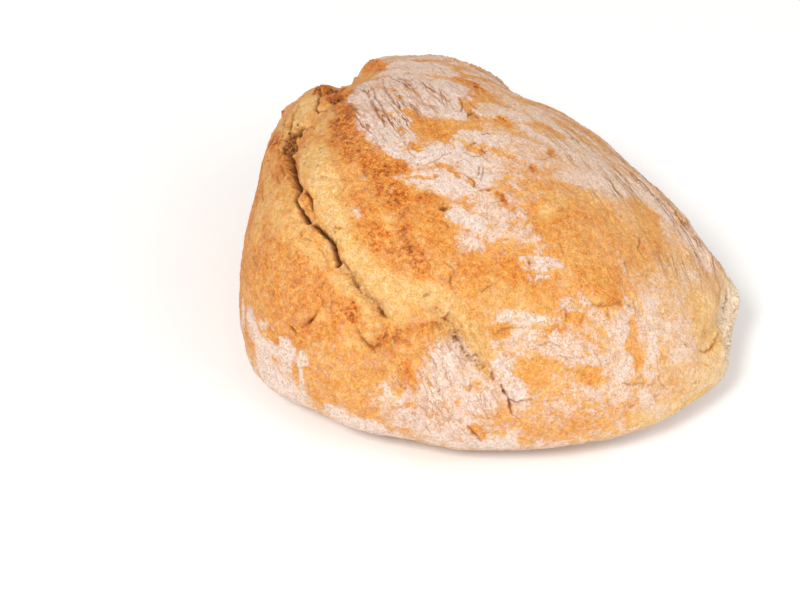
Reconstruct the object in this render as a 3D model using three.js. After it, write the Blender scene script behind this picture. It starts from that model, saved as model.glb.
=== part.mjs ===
// Sourdough loaf, one baked piece.
//
// A large oval country loaf that lies on a small flat spot. Its crown leans a little and slopes down towards
// the +X end. The -Y flank has burst in the oven along one long crack: it starts low near the +X end, climbs
// along the flank, opens into a torn hollow near the -X end and fades out over that end.
//
// Frame: millimetres, +Z up, origin at the centre of the bounding box's footprint, +X along the longest side.

import * as THREE from 'three';

// ---- driving dimensions, mm ----
const WAIST_RADIUS = 136.09;      // mean radius of the loaf at its widest level
const WAIST_HEIGHT = 22.14;        // height of the widest level above the resting face
const CROWN_HEIGHT = 120.08;      // height of the crown before it is tilted
const CROWN_SHIFT = [2.21, 1.69]; // how far the crown leans from the middle of the waist
const CROWN_TILT = [0.0597, 0.1123]; // drop of the crown towards +X and +Y, per TILT_SPAN
const TILT_SPAN = 130;            // span over which the tilt is measured
const CROWN_EXPONENT = [1.9971, -0.1374, -0.2146]; // 2 is an ellipse, more is a squarer shoulder: mean, cosine, sine
const UNDERCUT = 0.5;             // how steeply the underside rolls in to the flat spot
const CENTRE = [6.28, -7.12];   // centre of the waist
// harmonics of the waist outline: [order, cosine part, sine part]
const OUTLINE = [[1, 0.002, 0.1098], [2, 0.0772, -0.003], [3, -0.0539, 0.0594]];

const COLUMNS = 92;               // facets round the loaf
const CROWN_ROWS = 26;            // rings from the waist up to the crown
const UNDER_ROWS = 7;             // rings from the waist down to the resting face

// broad swellings and hollows of the crust: [x, y, z, spread, height along the surface normal]
const SWELLINGS = [
  [-30.9, -111.0, 38.6, 13.0, -0.5],
  [-66.7, -90.1, 43.6, 13.0, -0.4],
  [-82.1, -80.2, 47.0, 13.0, -0.9],
  [-111.8, -28.9, 83.7, 13.0, 5.8],
  [-113.1, -14.9, 87.8, 13.0, -11.5],
  [-108.5, -2.3, 93.1, 13.0, 4.1],
  [-97.1, 38.2, 92.3, 13.0, 3.8],
  [-89.5, 48.9, 91.0, 13.0, -3.0],
  [-79.1, 57.3, 90.6, 13.0, 0.9],
  [-64.6, 74.2, 83.3, 13.0, -2.9],
  [-57.7, 81.9, 78.5, 13.0, 0.7],
  [-45.3, 85.4, 77.6, 13.0, 0.7],
  [-26.1, 93.8, 72.0, 13.0, -1.7],
  [-13.3, 96.9, 70.4, 13.0, 4.3],
  [22.6, 104.6, 66.0, 13.0, -1.1],
  [42.2, 114.4, 55.1, 13.0, -0.6],
  [55.9, 116.8, 50.6, 13.0, -1.2],
  [66.8, 120.7, 42.1, 13.0, -1.0],
  [81.6, 119.9, 36.4, 13.0, -1.1],
  [96.3, 116.7, 29.5, 13.0, 3.6],
  [111.0, 109.2, 24.0, 13.0, -2.9],
  [123.5, 98.5, 21.3, 13.0, -2.8],
  [142.8, 66.1, 17.8, 13.0, -1.8],
  [146.2, 50.0, 16.1, 13.0, -0.5],
  [148.0, 34.0, 15.7, 13.0, -0.6],
  [144.8, 7.4, 14.0, 13.0, -0.4],
  [139.4, -15.5, 14.4, 13.0, -0.5],
  [106.4, -75.1, 13.0, 13.0, -0.9],
  [100.7, -83.6, 13.7, 13.0, -1.0],
  [91.1, -90.2, 11.3, 13.0, -1.2],
  [86.3, -99.8, 14.7, 13.0, 0.7],
  [75.7, -107.0, 13.7, 13.0, -1.2],
  [65.3, -114.4, 14.7, 13.0, -1.7],
  [51.0, -120.1, 14.4, 13.0, -0.6],
  [37.9, -125.3, 17.1, 13.0, 0.6],
  [21.4, -126.9, 18.5, 13.0, 1.1],
  [3.8, -125.1, 20.2, 13.0, -1.4],
  [-11.7, -120.7, 21.6, 13.0, -0.4],
  [-22.7, -115.9, 29.2, 13.0, -0.4],
  [-106.6, -43.3, 79.2, 13.0, -2.4],
  [-99.3, -20.6, 96.6, 13.0, -5.7],
  [-121.3, 4.7, 83.2, 13.0, -0.7],
  [-109.3, 13.8, 91.8, 13.0, 1.2],
  [-81.1, 72.1, 79.6, 13.0, -1.0],
  [-52.4, 67.0, 91.2, 13.0, -1.7],
  [-45.7, 74.6, 86.7, 13.0, -0.8],
  [135.5, 82.7, 19.9, 13.0, 1.9],
  [-37.3, -108.2, 33.4, 13.0, -0.4],
  [-58.9, -93.3, 49.6, 13.0, -0.4],
  [-125.2, -7.6, 78.0, 13.0, -3.8],
  [-77.9, 82.7, 71.3, 13.0, -2.7],
  [-64.6, 86.7, 72.1, 13.0, -0.5],
  [14.5, 109.8, 59.5, 13.0, -0.7],
  [-71.1, -84.7, 55.2, 13.0, -0.7],
  [-90.9, -23.6, 100.9, 13.0, -2.7],
  [-56.0, 56.9, 96.8, 13.0, -0.3],
  [47.1, 121.8, 44.1, 13.0, -0.5],
  [-89.5, -76.7, 40.9, 13.0, -0.9],
  [-104.6, 26.7, 92.1, 13.0, -3.1],
  [-45.0, 62.6, 95.1, 13.0, -1.4],
  [-131.5, -3.4, 71.3, 13.0, -3.5],
  [-3.9, 100.9, 67.3, 13.0, -4.1],
  [104.1, 113.6, 20.9, 13.0, -1.6],
  [-80.5, -26.5, 105.4, 13.0, -3.9],
  [-137.0, 1.1, 64.2, 13.0, -2.8],
  [3.8, 106.1, 62.6, 13.0, 2.0],
  [-113.3, -40.0, 74.3, 13.0, -0.6],
  [-94.3, -35.6, 94.6, 13.0, 6.2],
  [-83.1, 86.0, 65.3, 13.0, -1.0],
  [38.1, 103.5, 67.1, 13.0, 0.9],
  [54.4, 102.3, 66.6, 13.0, 0.7],
  [62.8, 108.6, 58.9, 13.0, 0.5],
  [-106.7, -13.2, 93.2, 13.0, -1.7],
  [-89.3, 77.2, 71.3, 13.0, 0.9],
  [-112.7, -48.2, 65.8, 13.0, 0.9],
  [-99.1, -44.5, 85.4, 13.0, -1.1],
  [-13.5, -76.7, 105.9, 16.0, 3.5],
  [53.7, -87.1, 93.8, 17.0, -2.5],
  [79.5, -92.1, 70.2, 7.0, -5.0],
  [90.0, -85.4, 64.9, 10.0, 2.5],
  [11.1, -110.5, 79.8, 24.0, 2.5],
  [109.2, 22.9, 82.0, 12.0, 2.5],
  [115.2, -64.3, 46.0, 22.0, 2.5],
  [65.3, -56.2, 101.9, 16.0, 1.5],
  [-7.6, 10.4, 117.9, 20.0, 1.5],
  [80.9, 13.4, 99.1, 26.0, 1.5],
  [-116.1, 64.8, 63.4, 28.0, 2.0],
  [-36.6, 112.6, 42.8, 24.0, 2.0],
  [41.3, 121.7, 44.5, 22.0, -2.0],
  [-56.5, 70.8, 87.8, 26.0, -1.5],
  [-133.4, -31.4, 47.1, 24.0, 1.5],
];

// cracks: [x, y, z, depth, half width] along each one
const BURST = [
  [-142.5, -15.6, 40.8, 1.0, 4.0],
  [-132.2, -24.5, 59.1, 3.0, 5.0],
  [-123.5, -21.2, 75.0, 4.0, 5.0],
  [-108.3, -29.7, 86.6, 4.5, 6.0],
  [-95.8, -25.4, 97.5, 3.5, 6.0],
  [-75.5, -33.8, 105.6, 2.0, 5.0],
  [-61.0, -31.3, 111.7, 1.5, 5.0],
  [-57.6, -39.8, 110.4, 2.5, 6.0],
  [-58.8, -49.6, 106.0, 3.5, 7.0],
  [-57.9, -61.0, 99.6, 5.0, 7.0],
  [-51.8, -70.7, 94.8, 8.5, 6.0],
  [-37.2, -77.5, 96.3, 8.0, 5.0],
  [-18.6, -82.7, 100.2, 6.0, 4.0],
  [-1.8, -87.8, 101.3, 5.0, 4.0],
  [10.8, -90.4, 101.0, 6.0, 4.5],
  [18.2, -92.8, 99.2, 6.0, 4.5],
  [28.1, -92.0, 98.8, 5.0, 4.0],
  [41.0, -91.2, 96.2, 4.0, 3.5],
  [50.4, -92.5, 91.5, 4.0, 3.5],
  [57.0, -89.8, 90.2, 3.0, 3.5],
  [65.7, -88.7, 85.6, 2.5, 3.5],
  [73.9, -84.6, 82.6, 2.0, 3.5],
  [79.6, -84.2, 77.9, 1.0, 3.5],
];
const SIDE_SPLIT = [
  [89.6, -61.3, 83.4, 1.5, 4.0],
  [97.0, -58.0, 78.2, 3.0, 4.0],
  [104.8, -55.4, 71.3, 3.5, 4.0],
  [111.6, -52.3, 64.7, 3.5, 4.0],
  [118.0, -47.3, 58.9, 3.0, 4.0],
  [123.4, -43.4, 52.8, 2.5, 3.5],
  [128.5, -39.7, 45.8, 2.0, 3.5],
  [130.4, -39.4, 40.8, 1.0, 3.5],
];
const END_CLEFT = [
  [96.9, 108.2, 44.7, 2.0, 5.0],
  [104.3, 107.1, 40.1, 4.0, 5.0],
  [117.3, 95.8, 41.6, 5.0, 5.0],
  [130.0, 78.4, 43.6, 4.0, 5.0],
  [136.1, 69.2, 42.3, 2.0, 5.0],
];

// ---- the smooth loaf ----
function smoothPoint(azimuth, elevation) {
  const c = Math.cos(elevation), s = Math.abs(Math.sin(elevation));
  let radius = 1;
  for (const [k, a, b] of OUTLINE) radius += a * Math.cos(k * azimuth) + b * Math.sin(k * azimuth);
  radius *= WAIST_RADIUS;
  const crown = elevation >= 0;
  const e = 2 / (CROWN_EXPONENT[0] + CROWN_EXPONENT[1] * Math.cos(azimuth) + CROWN_EXPONENT[2] * Math.sin(azimuth));
  const r = crown ? Math.pow(Math.max(c, 0), e) : c;
  let z = crown
    ? WAIST_HEIGHT + (CROWN_HEIGHT - WAIST_HEIGHT) * Math.pow(s, e)
    : WAIST_HEIGHT - WAIST_HEIGHT * (1 + UNDERCUT) * s;
  const k = Math.min(1, Math.max(0, (z - WAIST_HEIGHT) / (CROWN_HEIGHT - WAIST_HEIGHT)));
  const x = CENTRE[0] + radius * r * Math.cos(azimuth) + CROWN_SHIFT[0] * k;
  const y = CENTRE[1] + radius * r * Math.sin(azimuth) + CROWN_SHIFT[1] * k;
  if (crown) {
    const drop = (CROWN_TILT[0] * (x - CENTRE[0]) + CROWN_TILT[1] * (y - CENTRE[1])) / TILT_SPAN;
    z = WAIST_HEIGHT + (z - WAIST_HEIGHT) * (1 - drop);
  }
  return new THREE.Vector3(x, y, z);
}

// outward normal of the smooth loaf in a given direction from its middle
function smoothNormal(direction) {
  const helper = Math.abs(direction.z) < 0.9 ? new THREE.Vector3(0, 0, 1) : new THREE.Vector3(1, 0, 0);
  const t1 = helper.cross(direction).normalize();
  const t2 = direction.clone().cross(t1);
  const at = (t, h) => {
    const v = direction.clone().addScaledVector(t, h).normalize();
    return smoothPoint(Math.atan2(v.y, v.x), Math.asin(Math.min(1, Math.max(-1, v.z))));
  };
  const h = 0.002;
  const d1 = at(t1, h).sub(at(t1, -h));
  const d2 = at(t2, h).sub(at(t2, -h));
  return d1.cross(d2).normalize();
}

// depth of a crack at a point of the smooth loaf
function crackDepth(point, crack) {
  let depth = 0;
  for (let i = 0; i + 1 < crack.length; i++) {
    const a = new THREE.Vector3(...crack[i].slice(0, 3));
    const b = new THREE.Vector3(...crack[i + 1].slice(0, 3));
    const ab = b.clone().sub(a);
    const t = Math.min(1, Math.max(0, point.clone().sub(a).dot(ab) / ab.lengthSq()));
    const d2 = point.distanceToSquared(a.addScaledVector(ab, t));
    const full = THREE.MathUtils.lerp(crack[i][3], crack[i + 1][3], t);
    const wide = THREE.MathUtils.lerp(crack[i][4], crack[i + 1][4], t);
    depth = Math.max(depth, full * Math.exp(-d2 / (2 * wide * wide)));
  }
  return depth;
}

// a point of the crust: the smooth loaf moved along its normal
function crustPoint(azimuth, elevation) {
  const p = smoothPoint(azimuth, elevation);
  const direction = new THREE.Vector3(
    Math.cos(elevation) * Math.cos(azimuth), Math.cos(elevation) * Math.sin(azimuth), Math.sin(elevation));
  const n = elevation > Math.PI / 2 - 1e-6 ? new THREE.Vector3(0, 0, 1) : smoothNormal(direction);
  let move = 0;
  for (const [x, y, z, spread, height] of SWELLINGS) {
    const d2 = (p.x - x) ** 2 + (p.y - y) ** 2 + (p.z - z) ** 2;
    move += height * Math.exp(-d2 / (2 * spread * spread));
  }
  move -= crackDepth(p, BURST) + crackDepth(p, SIDE_SPLIT) + crackDepth(p, END_CLEFT);
  return p.addScaledVector(n, move);
}

// ---- the faceted skin ----
const positions = [];
const index = [];
const put = (p) => positions.push(p.x, p.y, p.z) / 3 - 1;

const rings = [];
const lowest = Math.asin(1 / (1 + UNDERCUT));      // elevation below the waist where the flat spot starts
for (let i = 1; i <= CROWN_ROWS + UNDER_ROWS; i++) {
  // closer rings low on the flank, where the loaf turns under
  const elevation = i <= CROWN_ROWS
    ? (Math.PI / 2) * (1 - i / CROWN_ROWS)
    : -lowest * (i - CROWN_ROWS) / UNDER_ROWS;
  const last = i === CROWN_ROWS + UNDER_ROWS;
  const ring = [];
  for (let j = 0; j < COLUMNS; j++) {
    const azimuth = (2 * Math.PI * (j + (i % 2) / 2)) / COLUMNS;
    const p = crustPoint(azimuth, elevation);
    if (last) p.z = 0;                              // edge of the resting face
    else p.z = Math.max(p.z, 0.8 * (CROWN_ROWS + UNDER_ROWS - i) / UNDER_ROWS);
    ring.push(put(p));
  }
  rings.push(ring);
}
const top = put(crustPoint(0, Math.PI / 2));

for (let j = 0; j < COLUMNS; j++) index.push(top, rings[0][j], rings[0][(j + 1) % COLUMNS]);
for (let i = 0; i + 1 < rings.length; i++) {
  for (let j = 0; j < COLUMNS; j++) {
    const k = (j + 1) % COLUMNS;
    const a = rings[i][j], b = rings[i][k], c = rings[i + 1][j], d = rings[i + 1][k];
    // odd rings are turned by half a facet, so the diagonal changes side from row to row
    if (i % 2 === 0) index.push(a, c, b, c, d, b);
    else index.push(a, c, d, a, d, b);
  }
}

// the flat resting face, one level polygon
const edge = rings[rings.length - 1].map((v) => new THREE.Vector2(positions[3 * v], positions[3 * v + 1]));
for (const [a, b, c] of THREE.ShapeUtils.triangulateShape(edge, [])) {
  const base = rings[rings.length - 1];
  index.push(base[a], base[c], base[b]);
}

const geometry = new THREE.BufferGeometry();
geometry.setAttribute('position', new THREE.Float32BufferAttribute(positions, 3));
geometry.setIndex(index);
geometry.computeVertexNormals();

const crust = new THREE.MeshStandardMaterial({ color: 0xdf9f5c, roughness: 0.85, metalness: 0 });
const loaf = new THREE.Mesh(geometry, crust);
loaf.name = 'loaf';

const object = new THREE.Group();
object.add(loaf);
export default object;
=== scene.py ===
import bpy
import numpy as np
from mathutils import Matrix, Vector


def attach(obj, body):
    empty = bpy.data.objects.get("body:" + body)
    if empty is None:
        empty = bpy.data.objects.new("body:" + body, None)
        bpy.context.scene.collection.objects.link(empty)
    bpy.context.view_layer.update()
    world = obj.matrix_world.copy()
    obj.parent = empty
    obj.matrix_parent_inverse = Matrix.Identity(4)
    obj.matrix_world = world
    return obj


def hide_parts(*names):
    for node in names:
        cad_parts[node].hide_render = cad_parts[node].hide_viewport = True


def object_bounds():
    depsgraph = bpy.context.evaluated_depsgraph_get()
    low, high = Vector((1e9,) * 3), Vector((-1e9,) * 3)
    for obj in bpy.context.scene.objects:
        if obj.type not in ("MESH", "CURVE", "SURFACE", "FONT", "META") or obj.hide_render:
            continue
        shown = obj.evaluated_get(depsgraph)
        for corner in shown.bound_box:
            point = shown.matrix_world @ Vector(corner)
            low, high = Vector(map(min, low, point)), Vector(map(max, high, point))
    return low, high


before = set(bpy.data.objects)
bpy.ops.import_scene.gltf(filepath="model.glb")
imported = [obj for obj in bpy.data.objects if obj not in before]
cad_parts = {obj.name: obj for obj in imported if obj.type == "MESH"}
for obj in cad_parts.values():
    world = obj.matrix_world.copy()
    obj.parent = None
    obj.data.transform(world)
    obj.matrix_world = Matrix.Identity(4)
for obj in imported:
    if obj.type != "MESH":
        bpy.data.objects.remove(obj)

# The CAD model's box; its centre places the camera and the lights.
CAD_LO, CAD_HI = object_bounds()
MM = 0.001

# ----------------------------------------------------------------------------
# The loaf's shape. All lengths are in millimetres until the mesh is made.
# ----------------------------------------------------------------------------
BASE = {'x0': 6.28, 'y0': -7.12, 'a': 136.09, 'c1': 0.002, 's1': 0.1098, 'c2': 0.0772, 's2': -0.003, 'c3': -0.0539, 's3': 0.0594, 'H': 120.08, 'zw': 22.14, 'px': 2.21, 'py': 1.69, 'nt': 1.9971, 'nc': -0.1374, 'ns': -0.2146, 'tx': 0.0597, 'ty': 0.1123, 'zd': 0.5}

# Broad swellings and hollows of the dough: x, y, z, spread, height.
SWELLINGS = [
    (-30.9, -111, 38.6, 13, -0.5), (-66.7, -90.1, 43.6, 13, -0.4), (-82.1, -80.2, 47, 13, -0.9), (-111.8, -28.9, 83.7, 13, 5.8),
    (-113.1, -14.9, 87.8, 13, -11.5), (-108.5, -2.3, 93.1, 13, 4.1), (-97.1, 38.2, 92.3, 13, 3.8), (-89.5, 48.9, 91, 13, -3),
    (-79.1, 57.3, 90.6, 13, 0.9), (-64.6, 74.2, 83.3, 13, -2.9), (-57.7, 81.9, 78.5, 13, 0.7), (-45.3, 85.4, 77.6, 13, 0.7),
    (-26.1, 93.8, 72, 13, -1.7), (-13.3, 96.9, 70.4, 13, 4.3), (22.6, 104.6, 66, 13, -1.1), (42.2, 114.4, 55.1, 13, -0.6),
    (55.9, 116.8, 50.6, 13, -1.2), (66.8, 120.7, 42.1, 13, -1), (81.6, 119.9, 36.4, 13, -1.1), (96.3, 116.7, 29.5, 13, 3.6),
    (111, 109.2, 24, 13, -2.9), (123.5, 98.5, 21.3, 13, -2.8), (142.8, 66.1, 17.8, 13, -1.8), (146.2, 50, 16.1, 13, -0.5),
    (148, 34, 15.7, 13, -0.6), (144.8, 7.4, 14, 13, -0.4), (139.4, -15.5, 14.4, 13, -0.5), (106.4, -75.1, 13, 13, -0.9),
    (100.7, -83.6, 13.7, 13, -1), (91.1, -90.2, 11.3, 13, -1.2), (86.3, -99.8, 14.7, 13, 0.7), (75.7, -107, 13.7, 13, -1.2),
    (65.3, -114.4, 14.7, 13, -1.7), (51, -120.1, 14.4, 13, -0.6), (37.9, -125.3, 17.1, 13, 0.6), (21.4, -126.9, 18.5, 13, 1.1),
    (3.8, -125.1, 20.2, 13, -1.4), (-11.7, -120.7, 21.6, 13, -0.4), (-22.7, -115.9, 29.2, 13, -0.4), (-106.6, -43.3, 79.2, 13, -2.4),
    (-99.3, -20.6, 96.6, 13, -5.7), (-121.3, 4.7, 83.2, 13, -0.7), (-109.3, 13.8, 91.8, 13, 1.2), (-81.1, 72.1, 79.6, 13, -1),
    (-52.4, 67, 91.2, 13, -1.7), (-45.7, 74.6, 86.7, 13, -0.8), (135.5, 82.7, 19.9, 13, 1.9), (-37.3, -108.2, 33.4, 13, -0.4),
    (-58.9, -93.3, 49.6, 13, -0.4), (-125.2, -7.6, 78, 13, -3.8), (-77.9, 82.7, 71.3, 13, -2.7), (-64.6, 86.7, 72.1, 13, -0.5),
    (14.5, 109.8, 59.5, 13, -0.7), (-71.1, -84.7, 55.2, 13, -0.7), (-90.9, -23.6, 100.9, 13, -2.7), (-56, 56.9, 96.8, 13, -0.3),
    (47.1, 121.8, 44.1, 13, -0.5), (-89.5, -76.7, 40.9, 13, -0.9), (-104.6, 26.7, 92.1, 13, -3.1), (-45, 62.6, 95.1, 13, -1.4),
    (-131.5, -3.4, 71.3, 13, -3.5), (-3.9, 100.9, 67.3, 13, -4.1), (104.1, 113.6, 20.9, 13, -1.6), (-80.5, -26.5, 105.4, 13, -3.9),
    (-137, 1.1, 64.2, 13, -2.8), (3.8, 106.1, 62.6, 13, 2), (-113.3, -40, 74.3, 13, -0.6), (-94.3, -35.6, 94.6, 13, 6.2),
    (-83.1, 86, 65.3, 13, -1), (38.1, 103.5, 67.1, 13, 0.9), (54.4, 102.3, 66.6, 13, 0.7), (62.8, 108.6, 58.9, 13, 0.5),
    (-106.7, -13.2, 93.2, 13, -1.7), (-89.3, 77.2, 71.3, 13, 0.9), (-112.7, -48.2, 65.8, 13, 0.9), (-99.1, -44.5, 85.4, 13, -1.1),
]
FORMS = [
    (-13.5, -76.7, 105.9, 16, 3.5), (53.7, -87.1, 93.8, 17, -2.5), (79.5, -92.1, 70.2, 7, -5), (90, -85.4, 64.9, 10, 2.5),
    (11.1, -110.5, 79.8, 24, 2.5), (109.2, 22.9, 82, 12, 2.5), (115.2, -64.3, 46, 22, 2.5), (65.3, -56.2, 101.9, 16, 1.5),
    (-7.6, 10.4, 117.9, 20, 1.5), (80.9, 13.4, 99.1, 26, 1.5), (-116.1, 64.8, 63.4, 28, 2), (-36.6, 112.6, 42.8, 24, 2),
    (41.3, 121.7, 44.5, 22, -2), (-56.5, 70.8, 87.8, 26, -1.5), (-133.4, -31.4, 47.1, 24, 1.5),
]
# The burst, the split low on the flank and the cleft at the torn end: x, y, z, depth, half width.
BURST = [
    (-142.5, -15.6, 40.8, 1, 4), (-132.2, -24.5, 59.1, 3, 5), (-123.5, -21.2, 75, 4, 5), (-108.3, -29.7, 86.6, 4.5, 6),
    (-95.8, -25.4, 97.5, 3.5, 6), (-75.5, -33.8, 105.6, 2, 5), (-61, -31.3, 111.7, 1.5, 5), (-57.6, -39.8, 110.4, 2.5, 6),
    (-58.8, -49.6, 106, 3.5, 7), (-57.9, -61, 99.6, 5, 7), (-51.8, -70.7, 94.8, 8.5, 6), (-37.2, -77.5, 96.3, 8, 5),
    (-18.6, -82.7, 100.2, 6, 4), (-1.8, -87.8, 101.3, 5, 4), (10.8, -90.4, 101, 6, 4.5), (18.2, -92.8, 99.2, 6, 4.5),
    (28.1, -92, 98.8, 5, 4), (41, -91.2, 96.2, 4, 3.5), (50.4, -92.5, 91.5, 4, 3.5), (57, -89.8, 90.2, 3, 3.5),
    (65.7, -88.7, 85.6, 2.5, 3.5), (73.9, -84.6, 82.6, 2, 3.5), (79.6, -84.2, 77.9, 1, 3.5),
]
SIDE_SPLIT = [
    (89.6, -61.3, 83.4, 1.5, 4), (97, -58, 78.2, 3, 4), (104.8, -55.4, 71.3, 3.5, 4), (111.6, -52.3, 64.7, 3.5, 4),
    (118, -47.3, 58.9, 3, 4), (123.4, -43.4, 52.8, 2.5, 3.5), (128.5, -39.7, 45.8, 2, 3.5), (130.4, -39.4, 40.8, 1, 3.5),
]
END_CLEFT = [
    (96.9, 108.2, 44.7, 2, 5), (104.3, 107.1, 40.1, 4, 5), (117.3, 95.8, 41.6, 5, 5), (130, 78.4, 43.6, 4, 5),
    (136.1, 69.2, 42.3, 2, 5),
]
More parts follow.
